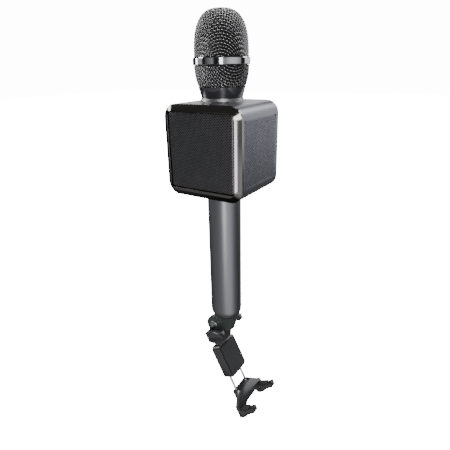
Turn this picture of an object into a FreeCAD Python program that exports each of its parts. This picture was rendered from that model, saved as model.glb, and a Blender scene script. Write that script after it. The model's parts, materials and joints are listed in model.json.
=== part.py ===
import FreeCAD, Part
import math
import os
import re
import Sketcher

# A hand-held karaoke microphone with a cube loudspeaker under its grille and a phone clamp at its foot.
# Millimetres. +Z runs up the handle's axis, -Y is the loudspeaker's front, +X its right-hand side.
# The origin is the middle of the handle's grip.

DIMENSIONS = {
    # the cube
    "cube_width": 66.5,
    "cube_front": -31.2,
    "cube_rear": 29.4,
    "cube_height": 68.1,
    "cube_centre": 93.0,
    "cube_corner": 10.0,
    "sleeve_wall": 2.0,
    "front_bezel_depth": 4.8,
    "bezel_slope_width": 5.0,
    "bezel_slope_depth": 3.0,
    "bezel_flat": 0.5,
    "bezel_sill": 1.5,
    "rear_bezel_depth": 3.0,
    "rear_rim": 6.5,
    "rear_edge": 1.2,
    # the side grilles and their windows
    "side_low": 69.0,
    "side_high": 117.0,
    "side_front": -25.0,
    "side_rear": 23.5,
    "side_corner": 3.0,
    "grille_gap": 0.1,
    "side_plate": 1.0,
    "side_recess": 0.15,
    # the front grille
    "front_grille_depth": 2.6,
    "front_grille_round": 2.0,
    # the driver, along Y
    "baffle_thick": 2.8,
    "baffle_hole": 23.0,
    "driver_flange": 28.5,
    "flange_face": -20.4,
    "driver_place": -3.0,
    "driver_screw_place": 19.0,
    "flange_plate": 1.5,
    "surround_seat": 22.6,
    "surround_ledge": 1.8,
    "basket_shoulder": 24.0,
    "basket_foot": 15.4,
    "basket_step": -6.9,
    "basket_hole": 12.6,
    "basket_floor": -7.6,
    "magnet_front": -5.0,
    "magnet_rear": 5.0,
    "magnet_radius": 14.0,
    "gap_outer": 6.7,
    "gap_floor": 2.0,
    "pole_radius": 5.5,
    "pole_tip": -6.0,
    "coil_inner": 5.9,
    "coil_outer": 6.3,
    "coil_front": -12.1,
    "coil_rear": -1.0,
    "cone_inner": 6.35,
    "cone_outer": 20.0,
    "cone_neck": -11.5,
    "cone_mouth": -18.0,
    "cone_wall": 0.6,
    "surround_low": -18.8,
    "surround_crest": -19.9,
    "surround_radius": 22.5,
    "cap_front": -15.7,
    "cap_radius": 7.0,
    "screw_skin": 0.6,
    "small_shank": 1.2,
    "small_hole": 1.25,
    "small_head": 2.2,
    "head_depth": 1.4,
    # the rear panel and its controls
    "panel_thick": 1.9,
    "panel_gap": 0.3,
    "board_rear": 19.8,
    "board_thick": 1.6,
    "board_half": 26.0,
    "standoff_x": 23.0,
    "standoff_z": 24.0,
    "standoff_radius": 2.6,
    "button_gap": 0.25,
    "button_cap": 28.0,
    "button_travel": 0.7,
    "switch_top": 22.6,
    "switch_half": 2.6,
    "socket_height": 69.5,
    "socket_place": 12.0,
    "jack_radius": 3.2,
    "jack_bore": 1.8,
    "jack_depth": 13.0,
    "socket_face": 26.2,
    "light_radius": 1.5,
    "switch_nub": 1.6,
    "port_half": 4.5,
    "port_rise": 1.6,
    "port_gap": 0.2,
    "port_corner": 1.5,
    "port_mouth": 3.0,
    "port_mouth_rise": 1.2,
    "port_tongue": 2.4,
    "port_tongue_rise": 0.35,
    # the neck and the capsule
    "neck_foot": 18.0,
    "neck_top": 15.6,
    "neck_height": 2.95,
    "spigot_radius": 13.1,
    "spigot_length": 6.4,
    "shank_radius": 12.0,
    "shank_low": 119.5,
    "neck_bore": 9.5,
    "nut_thick": 4.0,
    "nut_across": 30.0,
    "cradle_height": 13.6,
    "capsule_radius": 10.5,
    "capsule_floor": 140.0,
    "capsule_top": 156.0,
    # the grille head
    "running_gap": 0.1,
    "seat_gap": 0.15,
    "collar_low_radius": 15.4,
    "collar_high_radius": 17.45,
    "collar_top": 137.5,
    "bowl_radius": 20.2,
    "bowl_depth": 29.0,
    "band_low": 152.5,
    "band_high": 157.5,
    "band_radius": 20.85,
    "dome_radius": 20.0,
    "dome_height": 31.8,
    "dome_power": 2.8,
    "mesh_thick": 1.1,
    "foam_thick": 3.0,
    # the handle
    "tube_radius": 13.65,
    "tube_bore": 12.05,
    "rim_low": -59.0,
    "rim_radius": 12.0,
    "rim_bore": 10.2,
    "taper_start": -53.5,
    "taper_blend": 12.0,
    "scallop_radius": 16.0,
    "scallop_rise": 5.0,
    "flange_radius": 18.0,
    "flange_thick": 3.0,
    "flange_spigot": 12.0,
    "flange_bore": 8.0,
    "flange_screw_circle": 15.2,
    "cell_radius": 9.2,
    "cell_low": -36.0,
    "cell_length": 65.0,
    "carrier_radius": 11.0,
    "carrier_bore": 9.3,
    "carrier_slot": 5.0,
    "contact_radius": 5.0,
    "contact_thick": 0.6,
    # the swivelling foot and its hinge
    "plug_head_radius": 11.5,
    "plug_head_top": -45.5,
    "plug_head_low": -48.5,
    "plug_radius": 10.1,
    "cone_top": -59.4,
    "cone_top_radius": 11.4,
    "cone_low": -74.0,
    "cone_low_radius": 7.5,
    "hinge_x": -8.0,
    "hinge_z": -70.0,
    "ear_radius": 8.0,
    "ear_outer": 9.0,
    "ear_inner": 5.2,
    "slot_roof": -61.8,
    "pin_radius": 1.97,
    "ear_bore": 2.0,
    "knuckle_bore": 2.05,
    "pin_head_radius": 3.6,
    "pin_head_thick": 1.3,
    "thumb_nut_radius": 4.8,
    "thumb_nut_thick": 3.4,
    # the clamp, in its own leaning frame: x forward out of the phone's face, y across, z up its back
    "clamp_x": 17.39,
    "clamp_z": -108.1,
    "clamp_lean": 27.44,
    "axis_x": -5.0,
    "axis_z": 45.5,
    "knuckle_radius": 7.4,
    "knuckle_half": 4.9,
    "body_back": -18.4,
    "body_front": -9.2,
    "body_half": 13.0,
    "body_low": -9.0,
    "body_high": 24.0,
    "body_corner": 3.5,
    "arm_back": -17.5,
    "arm_root": 12.0,
    "jaw_back": -12.9,
    "jaw_front": -8.8,
    "finger_inner": 14.7,
    "finger_outer": 21.7,
    "finger_height": 45.0,
    "finger_tip": 6.0,
    "tip_outer": 40.0,
    "tip_inner": 35.2,
    "upper_inner": 12.6,
    "upper_outer": 19.0,
    "upper_height": 43.0,
    "upper_back": -10.6,
    "horn_half": 4.7,
    "pad_top": 37.3,
    "pad_land": 35.5,
    "back_pad": 1.2,
    "rod_x": -15.6,
    "rod_y": 8.5,
    "rod_radius": 1.2,
    "rod_hole": 1.25,
    "rod_low": -34.0,
    "rod_high": 20.0,
    "rod_collar": 2.2,
    "collar_low_place": 15.0,
    "spring_bore": 2.5,
    "spring_floor": -6.0,
    "spring_radius": 1.85,
    "spring_wire": 0.25,
    "spring_pitch": 2.6,
}

BUTTONS = {
    # name: across, above the cube's centre, cap radius
    "play_button": (0.0, 0.0, 6.0),
    "previous_button": (-15.0, 0.0, 4.2),
    "next_button": (15.0, 0.0, 4.2),
    "volume_up_button": (0.0, 14.5, 4.2),
    "volume_down_button": (0.0, -14.0, 4.2),
    "power_button": (-15.0, 17.0, 3.6),
    "echo_button": (15.0, 17.0, 3.6),
}

DOC = FreeCAD.newDocument("KaraokeMicrophone")
PIECES = []


class Circle:
    """A circle in a sketch: its centre and radius as expressions."""

    def __init__(self, across, along, radius):
        self.across = across
        self.along = along
        self.radius = radius


def make_sheet():
    """Write the driving dimensions into the spreadsheet."""
    sheet = DOC.addObject("Spreadsheet::Sheet", "Dims")
    for row, (alias, value) in enumerate(DIMENSIONS.items(), start=1):
        sheet.set("A%d" % row, alias)
        sheet.set("B%d" % row, str(value))
        sheet.setAlias("B%d" % row, alias)
    DOC.recompute()
    return sheet


SHEET = make_sheet()


def bound(text):
    """Point each dimension's name in an expression at its cell."""
    return re.sub(r"[a-z][a-z_]+", lambda word: "Dims." + word.group(0), text)


def number(text):
    """The present value of an expression of dimensions."""
    return float(SHEET.evalExpression(re.sub(r"Dims\.", "", bound(text))))


def vector(across, along, up=0.0):
    return FreeCAD.Vector(across, along, up)


# ---- sketches ----

def tie(sketch, element, position, direction, text):
    """Hold a point of a sketch at a signed distance from the sketch's origin."""
    value = number(text)
    if abs(value) < 1e-9:
        axis_line = -2 if direction == "X" else -1
        sketch.addConstraint(Sketcher.Constraint("PointOnObject", element, position, axis_line))
        return
    if value > 0:
        rule = Sketcher.Constraint("Distance" + direction, -1, 1, element, position, value)
    else:
        rule = Sketcher.Constraint("Distance" + direction, element, position, -1, 1, -value)
        text = "-(%s)" % text
    sketch.setExpression("Constraints[%d]" % sketch.addConstraint(rule), bound(text))


def draw_circle(sketch, circle):
    """Draw a circle tied to the sheet."""
    centre = vector(number(circle.across), number(circle.along))
    index = sketch.addGeometry(Part.Circle(centre, vector(0, 0, 1), number(circle.radius)), False)
    tie(sketch, index, 3, "X", circle.across)
    tie(sketch, index, 3, "Y", circle.along)
    radius = sketch.addConstraint(Sketcher.Constraint("Radius", index, number(circle.radius)))
    sketch.setExpression("Constraints[%d]" % radius, bound(circle.radius))


def draw_polygon(sketch, points):
    """Draw a closed outline of straight edges whose corners are tied to the sheet."""
    corners = [vector(number(across), number(along)) for across, along in points]
    edges = []
    for start, end in zip(corners, corners[1:] + corners[:1]):
        edges.append(sketch.addGeometry(Part.LineSegment(start, end), False))
    for this, following in zip(edges, edges[1:] + edges[:1]):
        sketch.addConstraint(Sketcher.Constraint("Coincident", this, 2, following, 1))
    for edge, (across, along) in zip(edges, points):
        tie(sketch, edge, 1, "X", across)
        tie(sketch, edge, 1, "Y", along)


def rectangle(left, right, low, high):
    """The four corners of a rectangle."""
    return [(left, low), (right, low), (right, high), (left, high)]


def sketch_on(body, plane, level, outlines):
    """Draw outlines on a plane of the body's own origin, moved to a level along its axis."""
    sketch = body.newObject("Sketcher::SketchObject", "Sketch")
    support = [item for item in body.Origin.OriginFeatures if item.Role == plane + "_Plane"][0]
    sketch.AttachmentSupport = (support, [""])
    sketch.MapMode = "FlatFace"
    if plane == "XZ":
        level = "-(%s)" % level
    sketch.AttachmentOffset = FreeCAD.Placement(vector(0, 0, number(level)), FreeCAD.Rotation())
    sketch.setExpression("AttachmentOffset.Base.z", bound(level))
    for outline in outlines:
        if isinstance(outline, Circle):
            draw_circle(sketch, outline)
        else:
            draw_polygon(sketch, outline)
    return sketch


# ---- features ----

def new_body(name, place=None):
    """Start a body for one piece, moved to a place given as three expressions."""
    body = DOC.addObject("PartDesign::Body", name)
    body.Label = name
    body.AllowCompound = True
    for direction, text in zip("xyz", place or ()):
        body.setExpression("Placement.Base." + direction, bound(text))
    PIECES.append(body)
    return body


def clamp_body_piece(name):
    """Start a body in the clamp's leaning frame."""
    body = new_body(name, ("clamp_x", "0", "clamp_z"))
    turn = FreeCAD.Rotation(vector(0, -1, 0), number("clamp_lean"))
    body.Placement = FreeCAD.Placement(vector(number("clamp_x"), 0, number("clamp_z")), turn)
    return body


def pad(body, plane, outlines, low, high):
    """Add the outlines as material from low to high along the plane's axis."""
    sketch = sketch_on(body, plane, high if plane == "XZ" else low, outlines)
    feature = body.newObject("PartDesign::Pad", "Pad")
    feature.Profile = sketch
    feature.setExpression("Length", bound("(%s) - (%s)" % (high, low)))
    sketch.Visibility = False
    DOC.recompute()
    return feature


def pocket(body, plane, outlines, low, high):
    """Cut the outlines away from low to high along the plane's axis."""
    before = body.Shape.Volume
    sketch = sketch_on(body, plane, low if plane == "XZ" else high, outlines)
    feature = body.newObject("PartDesign::Pocket", "Pocket")
    feature.Profile = sketch
    feature.setExpression("Length", bound("(%s) - (%s)" % (high, low)))
    sketch.Visibility = False
    DOC.recompute()
    if body.Shape.Volume >= before:
        raise RuntimeError("a pocket of %s cuts nothing" % body.Label)
    return feature


def revolve(body, points, plane):
    """Turn an outline about the sketch's upright axis."""
    sketch = sketch_on(body, plane, "0", [points])
    feature = body.newObject("PartDesign::Revolution", "Revolution")
    feature.Profile = sketch
    feature.ReferenceAxis = (sketch, ["V_Axis"])
    feature.Angle = 360
    sketch.Visibility = False
    DOC.recompute()
    return feature


def turned(name, points, axis="Z", place=None):
    """A piece turned about Z or Y from points of (radius, place on the axis)."""
    body = new_body(name, place)
    revolve(body, points, "XZ" if axis == "Z" else "XY")
    return body


def dress_edges(body, kind, wanted, text, setting):
    """Round or bevel the edges of the body that pass a test."""
    base = body.Tip
    names = ["Edge%d" % (index + 1) for index, edge in enumerate(base.Shape.Edges) if wanted(edge)]
    feature = body.newObject("PartDesign::" + kind, kind)
    feature.Base = (base, names)
    feature.setExpression(setting, bound(text))
    DOC.recompute()
    return feature


def is_along(direction):
    """A test for straight edges along an axis."""
    axis = {"X": vector(1, 0, 0), "Y": vector(0, 1, 0), "Z": vector(0, 0, 1)}[direction]

    def test(edge):
        if edge.Curve.TypeId != "Part::GeomLine":
            return False
        return abs(abs(edge.Curve.Direction.dot(axis)) - 1.0) < 1e-6

    return test


def is_in_plane(direction, text):
    """A test for edges that lie wholly at one level along an axis."""
    level = number(text)

    def test(edge):
        box = edge.BoundBox
        low = {"X": box.XMin, "Y": box.YMin, "Z": box.ZMin}[direction]
        high = {"X": box.XMax, "Y": box.YMax, "Z": box.ZMax}[direction]
        return abs(low - level) < 1e-4 and abs(high - level) < 1e-4

    return test


def round_edges(body, direction, text):
    """Round every straight edge along an axis."""
    return dress_edges(body, "Fillet", is_along(direction), text, "Radius")


CUBE_LOW = "cube_centre - cube_height / 2"
CUBE_HIGH = "cube_centre + cube_height / 2"
CUBE_FRONT = "cube_front"
CUBE_REAR = "cube_rear"
SLEEVE_FRONT = "cube_front + front_bezel_depth"
SLEEVE_REAR = "cube_rear - rear_bezel_depth"
NECK_SEAT = "cube_centre + cube_height / 2 + neck_height"


def cube_section(inset):
    """The cube's square section, drawn in by an inset."""
    return rectangle("-cube_width / 2 + (%s)" % inset, "cube_width / 2 - (%s)" % inset,
                     CUBE_LOW + " + (%s)" % inset, CUBE_HIGH + " - (%s)" % inset)


def corners(across, along, radius):
    """Four circles at the corners of a rectangle about the cube's centre."""
    return [Circle("%s * %s" % (side, across), "cube_centre + %s * %s" % (level, along), radius)
            for side in ("-1", "1") for level in ("-1", "1")]


# ---- the cube's shell ----

def make_sleeve():
    """The rounded square tube of the cube, with its windows and the holes for neck and handle."""
    body = new_body("speaker_sleeve")
    pad(body, "XZ", [cube_section("0")], SLEEVE_FRONT, SLEEVE_REAR)
    round_edges(body, "Y", "cube_corner")
    hollow(body)
    window = rectangle("side_front", "side_rear", "side_low", "side_high")
    pocket(body, "YZ", [window], "-cube_width / 2 - 1", "cube_width / 2 + 1")
    pocket(body, "XY", [Circle("0", "0", "shank_radius + running_gap")], "cube_centre", CUBE_HIGH + " + 1")
    pocket(body, "XY", [Circle("0", "0", "shank_radius + running_gap")], CUBE_LOW + " - 1", "cube_centre")
    pocket(body, "XY", flange_screw_circles("small_hole"), CUBE_LOW + " + 0.5", "cube_centre")


def hollow(body):
    """Hollow the sleeve right through, with rounded inner corners."""
    half = "cube_width / 2 - sleeve_wall"
    corner = "cube_corner - sleeve_wall"
    straight = "cube_width / 2 - cube_corner"
    low = CUBE_LOW + " + sleeve_wall"
    high = CUBE_HIGH + " - sleeve_wall"
    tall = rectangle("-(%s)" % straight, straight, low, high)
    wide = rectangle("-(%s)" % half, half, CUBE_LOW + " + cube_corner", CUBE_HIGH + " - cube_corner")
    rounds = [Circle("%s * (%s)" % (side, straight),
                     "cube_centre + %s * (cube_height / 2 - cube_corner)" % level, corner)
              for side in ("-1", "1") for level in ("-1", "1")]
    for outline in [tall, wide] + rounds:
        pocket(body, "XZ", [outline], SLEEVE_FRONT + " - 1", SLEEVE_REAR + " + 1")


def make_side_grille(name, side):
    """A flat perforated plate that fills one side window."""
    body = new_body(name)
    outline = rectangle("side_front + grille_gap", "side_rear - grille_gap",
                        "side_low + grille_gap", "side_high - grille_gap")
    outer = "cube_width / 2 - side_recess"
    inner = outer + " - side_plate"
    if side > 0:
        pad(body, "YZ", [outline], inner, outer)
    else:
        pad(body, "YZ", [outline], "-(%s)" % outer, "-(%s)" % inner)
    return body


def window_section(inset):
    """The front window's outline, drawn in by an inset; its sill is deeper than its head."""
    return rectangle("-cube_width / 2 + bezel_slope_width + (%s)" % inset,
                     "cube_width / 2 - bezel_slope_width - (%s)" % inset,
                     CUBE_LOW + " + bezel_slope_width + bezel_sill + (%s)" % inset,
                     CUBE_HIGH + " - bezel_slope_width - (%s)" % inset)


def make_front_bezel():
    """The sloped frame round the loudspeaker's front."""
    body = new_body("front_bezel")
    pad(body, "XZ", [cube_section("0")], CUBE_FRONT, SLEEVE_FRONT)
    round_edges(body, "Y", "cube_corner")
    slope = dress_edges(body, "Chamfer", is_in_plane("Y", CUBE_FRONT), "bezel_slope_depth", "Size")
    slope.ChamferType = 1
    slope.setExpression("Size2", bound("bezel_slope_width - bezel_flat"))
    DOC.recompute()
    if body.Shape.BoundBox.YLength < number("front_bezel_depth") - 0.01:
        raise RuntimeError("the bezel lost its front")
    pocket(body, "XZ", [window_section("0")], CUBE_FRONT + " - 1", SLEEVE_FRONT + " + 1")
    return body


def make_front_grille():
    """The perforated cover over the loudspeaker, rolled back at its edges."""
    body = new_body("front_grille")
    front = CUBE_FRONT + " + 0.2"
    pad(body, "XZ", [window_section("grille_gap")], front, front + " + front_grille_depth")
    round_edges(body, "Y", "side_corner")
    dress_edges(body, "Fillet", is_in_plane("Y", front), "front_grille_round", "Radius")
    return body


def make_rear_bezel():
    """The frame round the control panel at the back."""
    body = new_body("rear_bezel")
    pad(body, "XZ", [cube_section("0")], SLEEVE_REAR, CUBE_REAR)
    round_edges(body, "Y", "cube_corner")
    dress_edges(body, "Chamfer", is_in_plane("Y", CUBE_REAR), "rear_edge", "Size")
    pocket(body, "XZ", [cube_section("rear_rim")], SLEEVE_REAR + " - 1", CUBE_REAR + " + 1")
    return body


# ---- the driver ----

DRIVER_PLACE = ("0", "driver_place", "cube_centre")
BAFFLE_REAR = "driver_place + flange_face"
DRIVER_SCREWS = ("driver_screw_place", "driver_screw_place")


def make_baffle():
    """The board behind the bezel that carries the driver."""
    body = new_body("front_baffle")
    front = BAFFLE_REAR + " - baffle_thick"
    pad(body, "XZ", [cube_section("sleeve_wall + panel_gap")], front, BAFFLE_REAR)
    round_edges(body, "Y", "cube_corner - sleeve_wall")
    pocket(body, "XZ", [Circle("0", "cube_centre", "baffle_hole")], front + " - 1", BAFFLE_REAR + " + 1")
    pocket(body, "XZ", corners(*DRIVER_SCREWS, "small_hole"), front + " + screw_skin", BAFFLE_REAR + " + 1")


def make_driver():
    """The loudspeaker: basket, magnet, coil, cone, surround and dust cap."""
    basket = turned("driver_basket", [
        ("surround_seat", "flange_face"), ("driver_flange", "flange_face"),
        ("driver_flange", "flange_face + flange_plate"), ("basket_shoulder", "flange_face + flange_plate"),
        ("basket_foot", "basket_step"), ("basket_foot", "magnet_front"), ("basket_hole", "magnet_front"),
        ("basket_hole", "basket_floor"), ("surround_seat", "flange_face + surround_ledge")],
        "Y", DRIVER_PLACE)
    holes = [Circle("%s * driver_screw_place" % side, "%s * driver_screw_place" % level, "small_hole")
             for side in ("-1", "1") for level in ("-1", "1")]
    pocket(basket, "XZ", holes, "flange_face - 1", "flange_face + flange_plate + 1")
    turned("driver_magnet", [
        ("0", "magnet_rear"), ("magnet_radius", "magnet_rear"), ("magnet_radius", "magnet_front"),
        ("gap_outer", "magnet_front"), ("gap_outer", "gap_floor"), ("pole_radius", "gap_floor"),
        ("pole_radius", "pole_tip"), ("0", "pole_tip")], "Y", DRIVER_PLACE)
    coil = rectangle("coil_inner", "coil_outer", "coil_front", "coil_rear")
    turned("voice_coil", coil, "Y", DRIVER_PLACE)
    turned("driver_cone", [
        ("cone_inner", "cone_neck - cone_wall"), ("cone_outer", "cone_mouth - cone_wall"),
        ("cone_outer", "cone_mouth"), ("cone_inner", "cone_neck")], "Y", DRIVER_PLACE)
    low, high = "surround_low", "surround_crest"
    turned("driver_surround", [
        ("cone_outer + 0.05", low), ("cone_outer + 0.7", high), ("cone_outer + 1.9", high),
        ("surround_radius", low + " - 0.4"), ("surround_radius", low),
        ("surround_radius - 0.8", low + " - 0.6"), ("cone_outer + 0.9", low + " - 0.6"),
        ("cone_outer + 0.6", low)], "Y", DRIVER_PLACE)
    turned("dust_cap", [
        ("0", "cap_front"), ("4", "cap_front + 0.7"), ("cap_radius", "cap_front + 2.4"),
        ("cap_radius - 0.5", "cap_front + 3"), ("0", "cap_front + 0.8")], "Y", DRIVER_PLACE)
    screws = new_body("driver_screws")
    head = BAFFLE_REAR + " + flange_plate"
    pad(screws, "XZ", corners(*DRIVER_SCREWS, "small_shank"), BAFFLE_REAR + " - 2", head)
    pad(screws, "XZ", corners(*DRIVER_SCREWS, "small_head"), head, head + " + head_depth")


# ---- the control panel and the board ----

def button_circles(extra):
    """A circle for each button, larger than its cap by an amount."""
    return [Circle(str(across), "cube_centre + %s" % above, "%s + %s" % (radius, extra))
            for across, above, radius in BUTTONS.values()]


PANEL_FRONT = "cube_rear - rear_bezel_depth - panel_thick"


def port_outline(half, rise):
    """A rectangle about the charging socket's centre."""
    return rectangle("socket_place - (%s)" % half, "socket_place + %s" % half,
                     "socket_height - (%s)" % rise, "socket_height + %s" % rise)


def make_rear_panel():
    """The control panel, with a hole for each button, socket, light and screw."""
    body = new_body("rear_panel")
    pad(body, "XZ", [cube_section("sleeve_wall + panel_gap")], PANEL_FRONT, SLEEVE_REAR)
    round_edges(body, "Y", "cube_corner - sleeve_wall")
    holes = button_circles("button_gap")
    holes += corners("standoff_x", "standoff_z", "small_hole")
    holes.append(Circle("-socket_place", "socket_height", "jack_radius + running_gap"))
    holes.append(Circle("0", "socket_height", "light_radius + running_gap"))
    holes.append(port_outline("port_half + port_gap", "port_rise + port_gap"))
    pocket(body, "XZ", holes, PANEL_FRONT + " - 1", SLEEVE_REAR + " + 1")
    return body


def make_buttons():
    """One push button for each control, captive behind the panel."""
    for name, (across, above, radius) in BUTTONS.items():
        cap = str(radius)
        turned(name, [
            ("0", "switch_top + button_travel + 0.1"),
            (cap + " + 1", "switch_top + button_travel + 0.1"),
            (cap + " + 1", PANEL_FRONT + " - 0.2"),
            (cap, PANEL_FRONT + " - 0.2"),
            (cap, "button_cap - 0.5"),
            (cap + " - 0.5", "button_cap"),
            ("0", "button_cap")], "Y", (str(across), "0", "cube_centre + %s" % above))


def make_board():
    """The circuit board on its standoffs, with its parts and switches."""
    board = new_body("main_board")
    outline = rectangle("-board_half", "board_half", "cube_centre - board_half", "cube_centre + board_half")
    pad(board, "XZ", [outline], "board_rear - board_thick", "board_rear")
    pocket(board, "XZ", [Circle("-socket_place", "socket_height", "jack_radius + 0.3")]
           + corners("standoff_x", "standoff_z", "small_hole"),
           "board_rear - board_thick - 1", "board_rear + 1")
    posts = new_body("board_standoffs")
    pad(posts, "XZ", corners("standoff_x", "standoff_z", "standoff_radius"), "board_rear", PANEL_FRONT)
    pocket(posts, "XZ", corners("standoff_x", "standoff_z", "small_hole"),
           "board_rear - 1", PANEL_FRONT + " + 1")
    screws = new_body("rear_screws")
    pad(screws, "XZ", corners("standoff_x", "standoff_z", "small_shank"),
        "board_rear - board_thick", SLEEVE_REAR)
    pad(screws, "XZ", corners("standoff_x", "standoff_z", "small_head"),
        SLEEVE_REAR, SLEEVE_REAR + " + head_depth")
    chips = new_body("board_components")
    front = "board_rear - board_thick"
    pad(chips, "XZ", [rectangle("-18", "-8", "cube_centre - 4", "cube_centre + 6"),
                      rectangle("8", "15", "cube_centre + 4", "cube_centre + 11")], front + " - 1.5", front)
    pad(chips, "XZ", [Circle("12", "cube_centre - 8", "4"), Circle("-2", "cube_centre - 15", "3")],
        front + " - 5", front)
    switches = new_body("button_switches")
    squares = [rectangle("%s - switch_half" % across, "%s + switch_half" % across,
                         "cube_centre + %s - switch_half" % above, "cube_centre + %s + switch_half" % above)
               for across, above, radius in BUTTONS.values()]
    nubs = [Circle(str(across), "cube_centre + %s" % above, "switch_nub")
            for across, above, radius in BUTTONS.values()]
    pad(switches, "XZ", squares, "board_rear", "switch_top - 0.8")
    pad(switches, "XZ", nubs, "switch_top - 0.8", "switch_top")


def make_sockets():
    """The charging socket, the audio jack and the charge light's lens."""
    usb = new_body("usb_socket")
    pad(usb, "XZ", [port_outline("port_half", "port_rise")], "board_rear", "socket_face")
    round_edges(usb, "Y", "port_corner")
    pocket(usb, "XZ", [port_outline("port_mouth", "port_mouth_rise")], "board_rear + 0.6", "socket_face + 1")
    pad(usb, "XZ", [port_outline("port_tongue", "port_tongue_rise")], "board_rear + 0.5", "socket_face - 0.8")
    jack = new_body("aux_jack")
    outer = Circle("-socket_place", "socket_height", "jack_radius")
    bore = Circle("-socket_place", "socket_height", "jack_bore")
    pad(jack, "XZ", [outer], "socket_face - jack_depth - 1", "socket_face")
    pocket(jack, "XZ", [bore], "socket_face - jack_depth", "socket_face + 1")
    turned("light_pipe", [("0", "board_rear + 0.2"), ("light_radius", "board_rear + 0.2"),
                          ("light_radius", "socket_face + 0.2"), ("0", "socket_face + 0.5")],
           "Y", ("0", "0", "socket_height"))


# ---- the neck, the capsule and the grille head ----

def make_neck():
    """The flared neck ring with its spigot, the nut under the sleeve, the cradle and the capsule."""
    turned("neck_ring", [
        ("neck_foot", CUBE_HIGH), ("neck_top + 0.8", CUBE_HIGH + " + 0.9"), ("neck_top", NECK_SEAT),
        ("spigot_radius", NECK_SEAT), ("spigot_radius", NECK_SEAT + " + spigot_length"),
        ("neck_bore", NECK_SEAT + " + spigot_length"), ("neck_bore", "shank_low"),
        ("shank_radius", "shank_low"), ("shank_radius", CUBE_HIGH)])
    nut = new_body("neck_nut")
    top = CUBE_HIGH + " - sleeve_wall"
    corner = number("nut_across") / math.sqrt(3) / number("nut_across")
    flat = "nut_across / 2"
    point = "nut_across * %.6f" % corner
    hexagon = [(point, "0"), (point + " / 2", flat), ("-%s / 2" % point, flat), ("-" + point, "0"),
               ("-%s / 2" % point, "-" + flat), (point + " / 2", "-" + flat)]
    pad(nut, "XY", [hexagon], top + " - nut_thick", top)
    pocket(nut, "XY", [Circle("0", "0", "shank_radius + 0.05")], top + " - nut_thick - 1", top + " + 1")
    seat = NECK_SEAT + " + spigot_length"
    turned("capsule_cradle", [
        ("5", seat), ("shank_radius", seat), ("shank_radius", seat + " + cradle_height"),
        ("capsule_radius + 0.1", seat + " + cradle_height"), ("capsule_radius + 0.1", "capsule_floor"),
        ("5", "capsule_floor")])
    turned("mic_capsule", [
        ("0", "capsule_floor"), ("capsule_radius", "capsule_floor"), ("capsule_radius", "capsule_top - 2"),
        ("capsule_radius - 2", "capsule_top"), ("0", "capsule_top")])


def bowl_radius_at(height):
    """The lower mesh's outer radius: a quarter ellipse below the band."""
    fall = (number("band_low") - height) / number("bowl_depth")
    return number("bowl_radius") * math.sqrt(1 - fall ** 2)


def dome_radius_at(height, power):
    """The dome's outer radius: a quarter of a squarish ellipse above the band."""
    rise = min((height - number("band_high")) / number("dome_height"), 1.0)
    return number("dome_radius") * (1 - rise ** power) ** (1 / power)


def mesh_shell(name, stations, inset, thick, closed):
    """A thin shell turned about Z; its outer curve passes through the stations, drawn in by an inset."""
    outer = offset_curve(stations, inset, closed)
    inner = offset_curve(stations, inset + thick, closed)
    edges = [outer.toShape(), inner.toShape()]
    for start, end in ((outer.StartPoint, inner.StartPoint), (outer.EndPoint, inner.EndPoint)):
        edges.append(Part.LineSegment(start, end).toShape())
    face = Part.Face(Part.Wire(Part.__sortEdges__(edges)))
    piece = DOC.addObject("Part::Feature", name)
    piece.Label = name
    piece.Shape = face.revolve(vector(0, 0, 0), vector(0, 0, 1), 360)
    PIECES.append(piece)
    return piece


def offset_curve(stations, inset, closed):
    """A smooth curve through the stations, moved in along their normals."""
    points = []
    for index, (radius, height) in enumerate(stations):
        before = stations[max(index - 1, 0)]
        after = stations[min(index + 1, len(stations) - 1)]
        along = vector(after[0] - before[0], 0, after[1] - before[1])
        if closed and index == len(stations) - 1:
            along = vector(-1, 0, 0)
        along.normalize()
        place = vector(radius, 0, height) + vector(-along.z, 0, along.x) * inset
        if index == 0 or (index == len(stations) - 1 and not closed):
            place.z = height
        points.append(place)
    curve = Part.BSplineCurve()
    if closed:
        points[-1].x = 0
        curve.interpolate(Points=points, InitialTangent=vector(0, 0, 1), FinalTangent=vector(-1, 0, 0))
    else:
        curve.interpolate(points)
    return curve


def dome_stations():
    """Points of the dome's profile, closer together towards its crown."""
    power = number("dome_power")
    stations = []
    for step in range(13):
        rise = math.sin(math.radians(90.0 * step / 12))
        height = number("band_high") + number("dome_height") * rise
        stations.append((dome_radius_at(height, power) if step < 12 else 0.0, height))
    return stations


def make_grille_head():
    """The part that unscrews: collar, lower mesh, band, dome and foam."""
    seat = NECK_SEAT + " + seat_gap"
    bore = "spigot_radius + running_gap"
    turned("grille_collar", [
        (bore, seat), ("collar_low_radius", seat), ("collar_high_radius", "collar_top"),
        ("collar_high_radius - 1.1", "collar_top"), (bore, "collar_top - 1.6")])
    low = number("collar_top")
    span = number("band_low") - low
    stations = [(bowl_radius_at(low + span * step / 6), low + span * step / 6) for step in range(7)]
    mesh_shell("grille_lower", stations, 0.0, number("mesh_thick"), False)
    edge = "band_radius - 0.35"
    inner = "dome_radius - mesh_thick - 0.2"
    turned("grille_band", [
        (inner, "band_low"), (edge, "band_low"), ("band_radius", "band_low + 0.5"),
        ("band_radius", "band_high - 0.5"), (edge, "band_high"), (inner, "band_high")])
    mesh_shell("grille_dome", dome_stations(), 0.0, number("mesh_thick"), True)
    mesh_shell("foam_liner", dome_stations(), number("mesh_thick") + 0.1, number("foam_thick"), True)


# ---- the handle ----

def flange_screw_circles(radius):
    """Four circles on the flange's screw circle."""
    places = ("flange_screw_circle", "0"), ("-flange_screw_circle", "0"), ("0", "flange_screw_circle"), \
        ("0", "-flange_screw_circle")
    return [Circle(across, along, radius) for across, along in places]


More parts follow.
